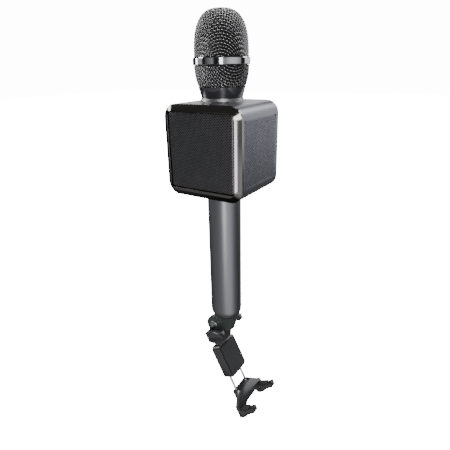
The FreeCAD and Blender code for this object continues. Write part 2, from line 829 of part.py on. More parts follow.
def make_handle():
    """The grip's tube, the flange that holds it to the cube, and the battery inside."""
    tube = turned("handle_tube", [
        ("tube_bore", CUBE_LOW), ("tube_radius", CUBE_LOW), ("tube_radius", "taper_start"),
        ("rim_radius", "rim_low"), ("rim_bore", "rim_low"), ("rim_bore", "taper_start"),
        ("tube_bore", "taper_start + 4")])
    taper = is_in_plane("Z", "taper_start")
    dress_edges(tube, "Fillet", lambda edge: taper(edge) and edge.BoundBox.XMax > number("tube_bore"),
                "taper_blend", "Radius")
    pocket(tube, "XZ", [Circle("0", "rim_low + scallop_rise - scallop_radius", "scallop_radius")],
           "-tube_radius - 1", "tube_radius + 1")
    floor = CUBE_LOW + " + sleeve_wall"
    flange = turned("handle_flange", [
        ("flange_bore", CUBE_LOW + " - flange_spigot"), ("shank_radius", CUBE_LOW + " - flange_spigot"),
        ("shank_radius", floor), ("flange_radius", floor), ("flange_radius", floor + " + flange_thick"),
        ("flange_bore", floor + " + flange_thick")])
    pocket(flange, "XY", flange_screw_circles("small_hole"), floor + " - 1", floor + " + flange_thick + 1")
    screws = new_body("flange_screws")
    top = floor + " + flange_thick"
    pad(screws, "XY", flange_screw_circles("small_shank"), CUBE_LOW + " + 0.6", top)
    pad(screws, "XY", flange_screw_circles("small_head"), top, top + " + head_depth")
    cell_top = "cell_low + cell_length"
    turned("battery_cell", [
        ("0", "cell_low"), ("cell_radius", "cell_low"), ("cell_radius", cell_top + " - 1"),
        ("3", cell_top + " - 1"), ("3", cell_top), ("0", cell_top)])
    wall = rectangle("carrier_bore", "carrier_radius", "cell_low - 2", cell_top + " + 2")
    carrier = turned("battery_carrier", wall)
    slot = rectangle("-carrier_slot", "carrier_slot", "cell_low + 6", cell_top + " - 6")
    pocket(carrier, "XZ", [slot], "0", "carrier_radius + 1")
    contacts = new_body("battery_contacts")
    disc = [Circle("0", "0", "contact_radius")]
    pad(contacts, "XY", disc, "cell_low - contact_thick", "cell_low")
    pad(contacts, "XY", disc, cell_top, cell_top + " + contact_thick")


# ---- the foot: plug, ears, pin and thumb nut ----

def make_foot():
    """The plug that turns in the handle's end, with two ears for the clamp's hinge."""
    plug = turned("end_plug", [
        ("0", "plug_head_top"), ("plug_head_radius", "plug_head_top"),
        ("plug_head_radius", "plug_head_low"), ("plug_radius", "plug_head_low"),
        ("plug_radius", "cone_top + 0.6"), ("cone_top_radius", "cone_top"),
        ("cone_low_radius", "cone_low"), ("0", "cone_low")])
    hinge = Circle("hinge_x", "hinge_z", "ear_radius")
    pad(plug, "XZ", [hinge], "-ear_outer", "ear_outer")
    slot = rectangle("hinge_x - ear_radius - 2", "hinge_x + ear_radius + 0.6", "cone_low - 6", "slot_roof")
    pocket(plug, "XZ", [slot], "-ear_inner", "ear_inner")
    pocket(plug, "XZ", [Circle("hinge_x", "hinge_z", "ear_bore")], "-ear_outer - 1", "ear_outer + 1")
    pin = new_body("hinge_pin")
    nut_end = "ear_outer + thumb_nut_thick"
    pad(pin, "XZ", [Circle("hinge_x", "hinge_z", "pin_radius")], "-ear_outer", nut_end)
    head = Circle("hinge_x", "hinge_z", "pin_head_radius")
    pad(pin, "XZ", [head], "-ear_outer - pin_head_thick", "-ear_outer")
    nut = new_body("thumb_nut")
    pad(nut, "XZ", [Circle("hinge_x", "hinge_z", "thumb_nut_radius")], "ear_outer", nut_end)
    pocket(nut, "XZ", [Circle("hinge_x", "hinge_z", "ear_bore")], "ear_outer - 1", nut_end + " + 1")


# ---- the clamp ----

def mirrored(points, side):
    """An outline turned upside down for the lower jaw."""
    if side > 0:
        return points
    return [(across, "-(%s)" % along) for across, along in reversed(points)]


class Jaw:
    """A jaw's side, the span of its fingers, their height and the back of their tips."""

    def __init__(self, side, inner, outer, height, back):
        self.side = side
        self.inner = inner
        self.outer = outer
        self.height = height
        self.back = back


UPPER = Jaw(1, "upper_inner", "upper_outer", "upper_height", "upper_back")
LOWER = Jaw(-1, "finger_inner", "finger_outer", "finger_height", "jaw_back")


def jaw_plate(jaw):
    """The jaw's plate: a narrow middle that fans out into two horns."""
    right = [("10", "body_high + 0.4"), (jaw.outer, "34"), (jaw.outer, jaw.height),
             (jaw.inner, jaw.height), ("12.2", "40.4"), ("8", "pad_top")]
    left = [("-(%s)" % across, along) for across, along in reversed(right)]
    return mirrored(right + left, jaw.side)


def finger_outline(jaw):
    """One finger seen from its side: from the plate it wraps the phone's edge and ends in a blunt tip."""
    return mirrored([
        (jaw.back, "33"), ("jaw_front", "33"), ("jaw_front", "pad_top"), ("-2.4", "pad_top"),
        ("finger_tip", "tip_inner"), ("finger_tip", "tip_outer"), ("3.7", "tip_outer + 0.1"),
        ("-0.6", "41.2"), ("-5.4", jaw.height + " - 1.3"), ("-9.4", jaw.height),
        (jaw.back, jaw.height + " - 0.4")], jaw.side)


def make_jaw(name, jaw):
    """A jaw with two fingers."""
    body = clamp_body_piece(name)
    pad(body, "YZ", [jaw_plate(jaw)], "jaw_back", "jaw_front")
    pad(body, "XZ", [finger_outline(jaw)], jaw.inner, jaw.outer)
    pad(body, "XZ", [finger_outline(jaw)], "-" + jaw.outer, "-" + jaw.inner)
    return body


def make_jaw_pads(name, jaw):
    """The rubber lining inside a jaw's two fingers."""
    body = clamp_body_piece(name)
    outline = mirrored([("-7.8", "pad_land"), ("0.5", "pad_land"), ("0.5", "pad_top - 0.73"),
                        ("-2.4", "pad_top"), ("-7.8", "pad_top")], jaw.side)
    pad(body, "XZ", [outline], jaw.inner + " + 0.4", jaw.outer + " - 0.4")
    pad(body, "XZ", [outline], "-%s + 0.4" % jaw.outer, "-%s - 0.4" % jaw.inner)
    return body


def rod_circles(radius):
    """Two circles where the guide rods run."""
    return [Circle("rod_x", "rod_y", radius), Circle("rod_x", "-rod_y", radius)]


def clamp_screw_circles(radius):
    """Two circles where the screws hold the upper jaw to the arm."""
    return [Circle("0", "28", radius), Circle("0", "33.5", radius)]


def make_clamp_body():
    """The clamp's body with the arm and knuckle that hang it from the hinge."""
    body = clamp_body_piece("clamp_body")
    block = rectangle("-body_half", "body_half", "body_low", "body_high")
    pad(body, "YZ", [block], "body_back", "body_front")
    round_edges(body, "X", "body_corner")
    arm = [("arm_back", "arm_root"), ("jaw_back", "arm_root"), ("jaw_back", "pad_top + 0.8"),
           ("axis_x - 3", "pad_top + 2.6"), ("axis_x", "axis_z"), ("axis_x - 3", "axis_z + 6.5"),
           ("axis_x - 8", "axis_z + 3.6"), ("arm_back", "axis_z - 5.5")]
    pad(body, "XZ", [arm], "-knuckle_half", "knuckle_half")
    pad(body, "XZ", [Circle("axis_x", "axis_z", "knuckle_radius")], "-knuckle_half", "knuckle_half")
    pocket(body, "XZ", [Circle("axis_x", "axis_z", "knuckle_bore")], "-knuckle_half - 1", "knuckle_half + 1")
    pocket(body, "XY", rod_circles("rod_hole"), "body_low - 1", "body_high + 1")
    pocket(body, "XY", rod_circles("spring_bore"), "spring_floor", "body_high + 1")
    pocket(body, "YZ", clamp_screw_circles("small_hole"), "arm_back - 1", "jaw_back + 1")
    return body


def make_upper_jaw():
    """The fixed jaw, drilled for its two screws."""
    jaw = make_jaw("upper_jaw", UPPER)
    for side in ("-1", "1"):
        middle = "%s * (upper_inner + upper_outer) / 2" % side
        horn = rectangle(middle + " - horn_half", middle + " + horn_half",
                         "body_high - 1", "upper_height + 1")
        pocket(jaw, "YZ", [horn], "jaw_back - 1", "upper_back")
    pocket(jaw, "YZ", clamp_screw_circles("small_hole"), "jaw_back - 1", "jaw_front - 0.8")
    screws = clamp_body_piece("clamp_screws")
    pad(screws, "YZ", clamp_screw_circles("small_shank"), "arm_back", "jaw_front - 1")
    pad(screws, "YZ", clamp_screw_circles("small_head"), "arm_back - head_depth", "arm_back")


def make_lower_jaw():
    """The sliding jaw, with the block that holds its rods."""
    jaw = make_jaw("lower_jaw", LOWER)
    block = rectangle("-11", "11", "-(pad_top)", "-(body_high + 0.4)")
    pad(jaw, "YZ", [block], "body_back", "jaw_back")
    pocket(jaw, "XY", rod_circles("rod_hole"), "rod_low", "-body_high + 2")
    rods = clamp_body_piece("guide_rods")
    pad(rods, "XY", rod_circles("rod_radius"), "rod_low", "rod_high")
    pad(rods, "XY", rod_circles("rod_collar"), "collar_low_place", "collar_low_place + 1.5")


def make_springs():
    """Two coil springs round the guide rods, inside the clamp's body."""
    coils = []
    turn = FreeCAD.Rotation(vector(0, -1, 0), number("clamp_lean"))
    lean = FreeCAD.Placement(vector(number("clamp_x"), 0, number("clamp_z")), turn)
    for side in (-1, 1):
        helix = DOC.addObject("Part::Helix", "SpringHelix")
        helix.setExpression("Radius", bound("spring_radius"))
        helix.setExpression("Pitch", bound("spring_pitch"))
        helix.setExpression("Height", bound("collar_low_place - spring_floor - 4 * spring_wire"))
        foot = vector(number("rod_x"), side * number("rod_y"), number("spring_floor + 2 * spring_wire"))
        helix.Placement = lean.multiply(FreeCAD.Placement(foot, FreeCAD.Rotation()))
        wire = DOC.addObject("Part::Circle", "SpringWire")
        wire.setExpression("Radius", bound("spring_wire"))
        upright = FreeCAD.Rotation(vector(1, 0, 0), 90)
        start = FreeCAD.Placement(vector(number("spring_radius"), 0, 0), upright)
        wire.Placement = helix.Placement.multiply(start)
        sweep = DOC.addObject("Part::Sweep", "SpringCoil")
        sweep.Sections = [wire]
        sweep.Spine = (helix, ["Edge1"])
        sweep.Solid = True
        sweep.Frenet = True
        coils.append(sweep)
    springs = DOC.addObject("Part::MultiFuse", "clamp_springs")
    springs.Label = "clamp_springs"
    springs.Shapes = coils
    PIECES.append(springs)


def make_back_pad():
    """The soft pad on the clamp's face that the phone's back rests on."""
    pad_body = clamp_body_piece("clamp_pad")
    outline = rectangle("-body_half + 2", "body_half - 2", "body_low + 2", "body_high - 2")
    pad(pad_body, "YZ", [outline], "body_front", "body_front + back_pad")
    round_edges(pad_body, "X", "body_corner - 1")


def write_parts():
    """Check every object, then write each piece's solids to its own file."""
    DOC.recompute()
    for item in DOC.Objects:
        if "Invalid" in item.State or "Error" in item.State:
            raise RuntimeError("%s did not compute: %s" % (item.Label, item.State))
    os.makedirs("parts", exist_ok=True)
    for piece in PIECES:
        shape = piece.Shape
        if shape.isNull() or not shape.isValid() or not shape.Solids:
            raise RuntimeError("%s has no valid solid" % piece.Label)
    for piece in PIECES:
        piece.Shape.exportStep(os.path.join("parts", piece.Label + ".step"))
        box = piece.Shape.BoundBox
        print("%-22s solids %d volume %9.1f  x %7.2f %7.2f  y %7.2f %7.2f  z %7.2f %7.2f" % (
            piece.Label, len(piece.Shape.Solids), piece.Shape.Volume,
            box.XMin, box.XMax, box.YMin, box.YMax, box.ZMin, box.ZMax))


def main():
    make_sleeve()
    make_side_grille("side_grille_right", 1)
    make_side_grille("side_grille_left", -1)
    make_front_bezel()
    make_front_grille()
    make_rear_bezel()
    make_baffle()
    make_driver()
    make_rear_panel()
    make_buttons()
    make_board()
    make_sockets()
    make_neck()
    make_grille_head()
    make_handle()
    make_foot()
    make_clamp_body()
    make_back_pad()
    make_upper_jaw()
    make_jaw_pads("upper_jaw_pads", UPPER)
    make_lower_jaw()
    make_jaw_pads("lower_jaw_pads", LOWER)
    make_springs()
    write_parts()


main()
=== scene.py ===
"""A karaoke microphone's looks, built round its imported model: mesh head, cube loudspeaker, handle and clamp.

Everything is in metres in the model's frame: +Z up the handle, -Y the loudspeaker's front.
"""

import json
import logging
import math
from dataclasses import dataclass
from enum import Enum
from typing import Callable, ClassVar, Iterable, Optional, Sequence

import bpy
import numpy as np
from mathutils import Matrix, Vector


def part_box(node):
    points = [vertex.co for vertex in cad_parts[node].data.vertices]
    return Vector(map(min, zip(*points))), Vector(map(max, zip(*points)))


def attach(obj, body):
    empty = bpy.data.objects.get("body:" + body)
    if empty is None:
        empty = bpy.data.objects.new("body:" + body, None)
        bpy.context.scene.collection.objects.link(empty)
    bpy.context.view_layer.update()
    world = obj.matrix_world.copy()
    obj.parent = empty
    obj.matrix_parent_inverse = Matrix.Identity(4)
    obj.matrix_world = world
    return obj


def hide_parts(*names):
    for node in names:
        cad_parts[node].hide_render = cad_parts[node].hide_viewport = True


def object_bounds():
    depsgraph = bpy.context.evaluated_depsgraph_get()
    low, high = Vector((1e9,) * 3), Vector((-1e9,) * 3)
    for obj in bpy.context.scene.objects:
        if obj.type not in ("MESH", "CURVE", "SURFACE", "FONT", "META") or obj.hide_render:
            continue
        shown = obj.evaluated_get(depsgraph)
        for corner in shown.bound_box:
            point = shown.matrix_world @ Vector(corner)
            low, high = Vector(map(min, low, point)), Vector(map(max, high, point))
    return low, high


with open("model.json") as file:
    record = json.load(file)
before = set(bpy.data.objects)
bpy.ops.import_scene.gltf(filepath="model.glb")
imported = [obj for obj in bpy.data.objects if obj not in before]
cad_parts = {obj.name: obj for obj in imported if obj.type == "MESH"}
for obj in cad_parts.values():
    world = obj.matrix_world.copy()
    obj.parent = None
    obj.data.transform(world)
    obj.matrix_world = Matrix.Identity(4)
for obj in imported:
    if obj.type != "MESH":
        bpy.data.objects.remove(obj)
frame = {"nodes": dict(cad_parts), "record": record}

LOG = logging.getLogger("microphone")
MM = 0.001
CAD_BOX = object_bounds()
NODES: dict[str, bpy.types.Object] = frame["nodes"]
BODIES: dict[str, list[str]] = frame["record"]["behaviour"]["bodies"]
Colour = tuple[float, float, float]
Triple = tuple[float, float, float]
Levels = Sequence[tuple[float, float]]
Looks = dict[int | str, object]
Material, Piece = bpy.types.Material, bpy.types.Object
Tree, Node, Socket = bpy.types.NodeTree, bpy.types.Node, bpy.types.NodeSocket


# ---------------------------------------------------------------- small helpers

def body_of_node(node: str) -> str:
    """Find the body that a CAD node belongs to."""
    return next(body for body, nodes in BODIES.items() if node in nodes)


def extent(node: str) -> tuple[Vector, Vector]:
    """Give a CAD node's lowest and highest corners, in metres."""
    low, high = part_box(node)
    return Vector(low), Vector(high)


def only(piece: Piece) -> None:
    """Select one object and make it active."""
    if bpy.context.object and bpy.context.object.mode != "OBJECT":
        bpy.ops.object.mode_set(mode="OBJECT")
    bpy.ops.object.select_all(action="DESELECT")
    piece.select_set(True)
    bpy.context.view_layer.objects.active = piece


def edit(piece: Piece) -> None:
    """Open one object for editing with all of it selected."""
    only(piece)
    bpy.ops.object.mode_set(mode="EDIT")
    bpy.ops.mesh.select_all(action="SELECT")


def close_edit() -> None:
    """Go back to object mode."""
    bpy.ops.object.mode_set(mode="OBJECT")


def title(piece: Piece, name: str) -> None:
    """Name an object and its mesh."""
    piece.name = name
    piece.data.name = name


def settle(piece: Piece) -> None:
    """Put an object's place, turn and size into its mesh."""
    only(piece)
    bpy.ops.object.transform_apply(location=True, rotation=True, scale=True)


def place(piece: Piece, where: Sequence[float] = (0, 0, 0),
          turn: Sequence[float] = (0, 0, 0)) -> None:
    """Turn a piece about the axes and move it, in its mesh."""
    piece.rotation_euler = turn
    piece.location = where
    settle(piece)


def primitive(kind: str, name: str = "", scale: Sequence[float] = (1, 1, 1),
              **settings: object) -> Piece:
    """Add a mesh primitive with its place and size in its mesh.

    Args:
        kind: Which primitive, as Blender's operator names it.
        name: The piece's name, if it is a finished one.
        scale: How much it is drawn out along each axis.
        **settings: The operator's settings.

    Returns:
        The new object.
    """
    bpy.ops.object.select_all(action="DESELECT")
    getattr(bpy.ops.mesh, "primitive_" + kind + "_add")(**settings)
    piece = bpy.context.object
    if name:
        title(piece, name)
    piece.scale = scale
    settle(piece)
    return piece


def apply_modifier(piece: Piece, kind: str, **settings: object) -> None:
    """Add a modifier of one of Blender's kinds, with its settings, and apply it."""
    only(piece)
    modifier = piece.modifiers.new(kind.title(), kind)
    for key, value in settings.items():
        setattr(modifier, key, value)
    bpy.ops.object.modifier_apply(modifier=modifier.name)


def repeat(piece: Piece, count: int, step: Triple) -> None:
    """Repeat a mesh in a row of count copies, a step apart, welding each to the next."""
    apply_modifier(piece, "ARRAY", count=count, use_relative_offset=False, use_constant_offset=True,
                   constant_offset_displace=step, use_merge_vertices=True, merge_threshold=0.004 * MM)


def join(pieces: Sequence[Piece], name: str) -> Piece:
    """Join objects into the first of them and name it."""
    only(pieces[0])
    for piece in pieces[1:]:
        piece.select_set(True)
    bpy.ops.object.join()
    joined = bpy.context.object
    title(joined, name)
    return joined


def move_points(piece: Piece, rule: Callable[[np.ndarray], np.ndarray]) -> None:
    """Press a mesh into a form by a rule that takes its points as rows and gives their new places."""
    mesh = piece.data
    flat = np.empty(len(mesh.vertices) * 3)
    mesh.vertices.foreach_get("co", flat)
    mesh.vertices.foreach_set("co", rule(flat.reshape(-1, 3)).ravel())
    mesh.update()


def drop_points(piece: Piece, doomed: Callable[[Vector], bool]) -> None:
    """Delete the points of a mesh that a test picks out."""
    only(piece)
    for polygon in piece.data.polygons:
        polygon.select = False
    for line in piece.data.edges:
        line.select = False
    for vertex in piece.data.vertices:
        vertex.select = doomed(vertex.co)
    bpy.ops.object.mode_set(mode="EDIT")
    bpy.ops.mesh.select_mode(type="VERT")
    bpy.ops.mesh.delete(type="VERT")
    close_edit()


def weld(piece: Piece, gap: float) -> None:
    """Merge a mesh's points that are closer than a gap and turn its faces outwards."""
    edit(piece)
    bpy.ops.mesh.remove_doubles(threshold=gap)
    bpy.ops.mesh.normals_make_consistent(inside=False)
    close_edit()


def smooth(piece: Piece, degrees: float = 35.0) -> None:
    """Shade smooth where faces meet at less than an angle."""
    only(piece)
    bpy.ops.object.shade_smooth_by_angle(angle=math.radians(degrees))


def fit(piece: Piece, material: Material, body: str,
        instead_of: Sequence[str] = ()) -> Piece:
    """Give a finished piece its material, its body and the CAD nodes that it stands for.

    Args:
        piece: The finished object.
        material: Its material.
        body: The body that it rides on.
        instead_of: The CAD nodes that it replaces.

    Returns:
        The same object.
    """
    piece.data.materials.clear()
    piece.data.materials.append(material)
    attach(piece, body)
    if instead_of:
        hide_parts(*instead_of)
    LOG.info("%s: %d faces on %s", piece.name, len(piece.data.polygons), body)
    return piece


def welded_copy(node: str, name: str) -> Piece:
    """Copy a CAD node's mesh with its points merged, and open the copy for editing."""
    source = NODES[node]
    mesh = source.data.copy()
    mesh.transform(source.matrix_world)
    piece = bpy.data.objects.new(name, mesh)
    bpy.context.scene.collection.objects.link(piece)
    edit(piece)
    bpy.ops.mesh.customdata_custom_splitnormals_clear()
    bpy.ops.mesh.remove_doubles(threshold=0.002 * MM)
    return piece


def softened(node: str, width: float, material: Material, segments: int = 3) -> Piece:
    """Copy a CAD node and round its sharp edges, as a moulding or casting has them.

    Args:
        node: The CAD node.
        width: The rounding's width in millimetres.
        material: The copy's material.
        segments: The number of faces across the rounding.

    Returns:
        The finished copy, which replaces the node.
    """
    piece = welded_copy(node, node + "_moulded")
    bpy.ops.mesh.dissolve_limited(angle_limit=math.radians(0.5))
    close_edit()
    apply_modifier(piece, "BEVEL", width=width * MM, segments=segments, limit_method="ANGLE",
                   angle_limit=math.radians(32), use_clamp_overlap=True, harden_normals=True)
    smooth(piece, 40)
    return fit(piece, material, body_of_node(node), [node])


# ---------------------------------------------------------------- finishes

class Lay(Enum):
    """Which way a surface's fine grain is drawn out."""

    EVEN = (1.0, 1.0, 1.0)
    UPRIGHT = (1.0, 1.0, 0.04)
    ACROSS = (0.05, 1.0, 1.0)
    ROUND = (0.25, 0.25, 6.0)


def feed(tree: Tree, node: Node, inputs: Looks) -> None:
    """Set a node's inputs, each to a constant or to another node's output."""
    for key, value in inputs.items():
        if isinstance(value, Socket):
            tree.links.new(value, node.inputs[key])
        else:
            node.inputs[key].default_value = value


def add(tree: Tree, kind: str, inputs: Optional[Looks] = None,
        **settings: object) -> Node:
    """Add a shader node.

    Args:
        tree: The node tree that it goes in.
        kind: Its type, without the leading ShaderNode.
        inputs: Its inputs, as feed takes them.
        **settings: Its properties, which are set first.

    Returns:
        The node.
    """
    node = tree.nodes.new("ShaderNode" + kind)
    for key, value in settings.items():
        setattr(node, key, value)
    feed(tree, node, inputs or {})
    return node


def ramp(tree: Tree, value: Socket,
         stops: Sequence[tuple[float, Sequence[float]]]) -> Socket:
    """Turn a value into a colour by stops, each a place from 0 to 1 and its colour."""
    node = add(tree, "ValToRGB", {"Fac": value})
    points = node.color_ramp.elements
    while len(points) < len(stops):
        points.new(0.5)
    for point, (where, colour) in zip(points, stops):
        point.position = where
        point.color = colour
    return node.outputs["Color"]


def relief(tree: Tree, height: Socket, strength: float, depth: float,
           invert: bool = False) -> Socket:
    """Raise the surface by a height and give its normal."""
    inputs = {"Height": height, "Strength": strength, "Distance": depth}
    return add(tree, "Bump", inputs, invert=invert).outputs["Normal"]


def shade(colour: Colour, share: float) -> tuple[float, ...]:
    """Make a colour lighter or darker."""
    return (*[min(part * share, 1) for part in colour], 1)


def grain_group() -> Tree:
    """Build the shared effect of fine grain and broad mottling, once, as masks and a height."""
    if "grain_and_mottle" in bpy.data.node_groups:
        return bpy.data.node_groups["grain_and_mottle"]
    tree = bpy.data.node_groups.new("grain_and_mottle", "ShaderNodeTree")
    face = tree.interface
    face.new_socket("Vector", in_out="INPUT", socket_type="NodeSocketVector")
    for label, value in (("Grain", 4000.0), ("Mottle", 60.0)):
        face.new_socket(label, in_out="INPUT", socket_type="NodeSocketFloat").default_value = value
    for label in ("Fine", "Broad", "Height"):
        face.new_socket(label, in_out="OUTPUT", socket_type="NodeSocketFloat")
    inlet = tree.nodes.new("NodeGroupInput").outputs
    fine = add(tree, "TexNoise", {"Vector": inlet["Vector"], "Scale": inlet["Grain"], "Detail": 3.0})
    broad = add(tree, "TexNoise", {"Vector": inlet["Vector"], "Scale": inlet["Mottle"], "Detail": 4.0,
                                   "Roughness": 0.6})
    height = add(tree, "Math", {0: fine.outputs["Fac"], 1: 0.85, 2: broad.outputs["Fac"]},
                 operation="MULTIPLY_ADD")
    feed(tree, tree.nodes.new("NodeGroupOutput"), {
        "Fine": fine.outputs["Fac"], "Broad": broad.outputs["Fac"], "Height": height.outputs[0]})
    return tree


@dataclass(frozen=True)
class Finish:
    """A surface finish: a base, its gloss, and how much both vary over the surface."""

    name: str
    colour: Colour
    roughness: float
    metallic: float = 0.0
    coat: float = 0.0
    variation: float = 0.12
    rough_spread: float = 0.06
    grain: float = 4000.0
    mottle: float = 60.0
    bump: float = 0.0
    bump_depth: float = 0.00002
    lay: Lay = Lay.EVEN

    def make(self) -> Material:
        """Build the material on its coordinates and the shared grain."""
        material = bpy.data.materials.new(self.name)
        material.use_nodes = True
        tree = material.node_tree
        where = add(tree, "TexCoord").outputs["Object"]
        laid = add(tree, "Mapping", {"Vector": where, "Scale": self.lay.value})
        grain = add(tree, "Group", {"Vector": laid.outputs["Vector"], "Grain": self.grain,
                                    "Mottle": self.mottle}, node_tree=grain_group())
        feed(tree, tree.nodes["Principled BSDF"], self.looks(tree, where, grain.outputs))
        return material

    def looks(self, tree: Tree, where: Socket, grain: Sequence[Socket]) -> Looks:
        """Give the shader's inputs.

        Args:
            tree: The material's node tree.
            where: The object coordinates.
            grain: The shared grain's outputs.

        Returns:
            Each input's constant or source.
        """
        tint = add(tree, "Mix", {0: grain["Broad"], 6: shade(self.colour, 1 - self.variation),
                                 7: shade(self.colour, 1 + self.variation)}, data_type="RGBA")
        gloss = add(tree, "MapRange", {"Value": grain["Height"], "From Min": 0.3, "From Max": 0.7,
                                       "To Min": max(self.roughness - self.rough_spread, 0.02),
                                       "To Max": min(self.roughness + self.rough_spread, 1)})
        inputs = {"Base Color": tint.outputs[2], "Roughness": gloss.outputs["Result"],
                  "Metallic": self.metallic, "Coat Weight": self.coat, "Coat Roughness": 0.04}
        if self.bump:
            inputs["Normal"] = relief(tree, grain["Height"], self.bump, self.bump_depth)
        return inputs


@dataclass(frozen=True)
class FoamFinish(Finish):
    """Open-cell foam, with painted shade in its pores: darker pore centres between lighter struts."""

    cell: float = 1800.0

    def looks(self, tree: Tree, where: Socket, grain: Sequence[Socket]) -> Looks:
        """Put a cell pattern in the height, and in the colour as painted shade in the pores."""
        cells = add(tree, "TexVoronoi", {"Vector": where, "Scale": self.cell},
                    feature="DISTANCE_TO_EDGE").outputs["Distance"]
        # Painted shade: lighter on the cell edges, darker towards each pore's centre.
        stops = ((0, shade(self.colour, 1.6)), (0.35, shade(self.colour, 0.3)))
        return {"Base Color": ramp(tree, cells, stops),
                "Normal": relief(tree, cells, 0.8, 0.2 * MM, invert=True), "Roughness": self.roughness}


@dataclass(frozen=True)
class WireFinish(Finish):
    """Woven wire: its own colour on the crowns of the weave, with painted shade down between them."""

    def looks(self, tree: Tree, where: Socket, grain: Sequence[Socket]) -> Looks:
        """Ramp the colour over the weave's height, painting shade down between the crowns."""
        crown = add(tree, "Attribute", attribute_name="crown").outputs["Fac"]
        # Painted shade: the colour falls from the wire's own tone on the crowns to near black low in the
        # weave.
        steps = ((0.28, 0.03), (0.60, 0.42), (0.90, 1.0))
        painted_weave_shade = ramp(tree, crown, [(height, shade(self.colour, share)) for height, share in steps])
        tint = add(tree, "Mix", {0: self.variation, 6: painted_weave_shade, 7: grain["Broad"]},
                   data_type="RGBA", blend_type="MULTIPLY")
        return {"Base Color": tint.outputs[2], "Metallic": self.metallic, "Roughness": self.roughness}


@dataclass(frozen=True)
class BoardFinish(Finish):
    """A circuit board: solder mask over a faint grid of copper tracks."""

    track: Colour = (0.05, 0.30, 0.14)

    def looks(self, tree: Tree, where: Socket, grain: Sequence[Socket]) -> Looks:
        """Put tracks in the colour and height."""
        flat = add(tree, "Mapping", {"Vector": where, "Rotation": (math.radians(90), 0, 0)})
        brick = add(tree, "TexBrick", {
            "Vector": flat.outputs["Vector"], "Scale": 260.0, "Mortar Size": 0.06,
            "Color1": shade(self.colour, 1), "Color2": shade(self.colour, 0.85),
            "Mortar": shade(self.track, 1)})
        return {"Base Color": brick.outputs["Color"], "Roughness": self.roughness,
                "Normal": relief(tree, brick.outputs["Fac"], 0.4, 0.03 * MM)}


class Finishes:
    """Every finish of the microphone, built once each."""

    LIST: tuple[Finish, ...] = (
        Finish("sleeve_anodised", (0.21, 0.21, 0.235), 0.32, 1.0, grain=5200, bump=0.1, variation=0.05),
        Finish("handle_anodised", (0.23, 0.235, 0.245), 0.30, 1.0, grain=5200, bump=0.1, variation=0.04,
               lay=Lay.UPRIGHT),
        Finish("neck_anodised", (0.27, 0.27, 0.28), 0.36, 1.0, grain=4200, bump=0.1),
        Finish("bezel_black_chrome", (0.20, 0.19, 0.185), 0.06, 1.0, variation=0.03, rough_spread=0.02),
        Finish("band_dark_chrome", (0.50, 0.50, 0.51), 0.07, 1.0, variation=0.03, rough_spread=0.02),
        Finish("collar_gloss_black", (0.022, 0.022, 0.024), 0.12, 0.0, coat=1.0, rough_spread=0.03),
        WireFinish("mesh_wire", (0.58, 0.58, 0.59), 0.30, 1.0, variation=0.3),
        Finish("front_grille_paint", (0.20, 0.20, 0.205), 0.38, 1.0, grain=6000, bump=0.1),
        Finish("side_grille_anodised", (0.27, 0.27, 0.31), 0.32, 1.0, grain=6000, bump=0.1),
        FoamFinish("acoustic_foam", (0.006, 0.006, 0.006), 0.95),
        Finish("acoustic_cloth", (0.006, 0.006, 0.0065), 0.95, grain=9000, variation=0.5, bump=0.6,
               bump_depth=0.0001),
        Finish("panel_moulding", (0.020, 0.020, 0.021), 0.42, grain=9000, bump=0.5),
        Finish("button_moulding", (0.035, 0.035, 0.037), 0.28, coat=0.4, grain=9000, bump=0.2),
        Finish("mark_paint", (0.75, 0.76, 0.78), 0.5, grain=7000, variation=0.05),
        Finish("foot_moulding", (0.030, 0.038, 0.035), 0.34, coat=0.3, grain=3000, bump=0.6,
               bump_depth=0.00008),
        Finish("clamp_moulding", (0.022, 0.022, 0.023), 0.20, coat=0.8, grain=7000, bump=0.15),
        Finish("pad_rubber", (0.020, 0.020, 0.021), 0.75, grain=6000, bump=0.6, variation=0.3),
        Finish("plated_steel", (0.45, 0.45, 0.46), 0.25, 1.0, grain=5000, bump=0.2, lay=Lay.ACROSS),
        Finish("ground_rod", (0.58, 0.58, 0.60), 0.18, 1.0, grain=3500, lay=Lay.ROUND, bump=0.1),
        Finish("inner_moulding", (0.030, 0.030, 0.032), 0.55, grain=6000, bump=0.4),
        Finish("driver_steel", (0.34, 0.34, 0.35), 0.35, 1.0, grain=4000, bump=0.2),
        Finish("magnet_ferrite", (0.07, 0.07, 0.072), 0.7, 0.2, grain=3000, bump=0.6, variation=0.3),
        Finish("coil_wire", (0.62, 0.28, 0.12), 0.35, 1.0, grain=6000, lay=Lay.ROUND, bump=0.5),
        Finish("cone_pulp", (0.020, 0.020, 0.020), 0.85, grain=2500, bump=0.8, variation=0.3),
        BoardFinish("solder_mask", (0.010, 0.11, 0.045), 0.35),
        Finish("chip_epoxy", (0.018, 0.018, 0.019), 0.6, grain=5000, bump=0.4),
        Finish("light_lens", (0.55, 0.75, 0.95), 0.25, coat=0.6, grain=2500, variation=0.1),
        Finish("cradle_rubber", (0.018, 0.018, 0.018), 0.8, grain=4000, bump=0.5, variation=0.3),
        Finish("capsule_metal", (0.50, 0.50, 0.51), 0.3, 1.0, grain=4000, lay=Lay.ROUND, bump=0.2),
        Finish("cell_wrap", (0.03, 0.14, 0.42), 0.3, coat=0.5, grain=1500, variation=0.1),
    )

    def __init__(self) -> None:
        """Build every material."""
        self.made = {finish.name: finish.make() for finish in self.LIST}

    def __getitem__(self, name: str) -> Material:
        """Give a finish's material by name."""
        return self.made[name]


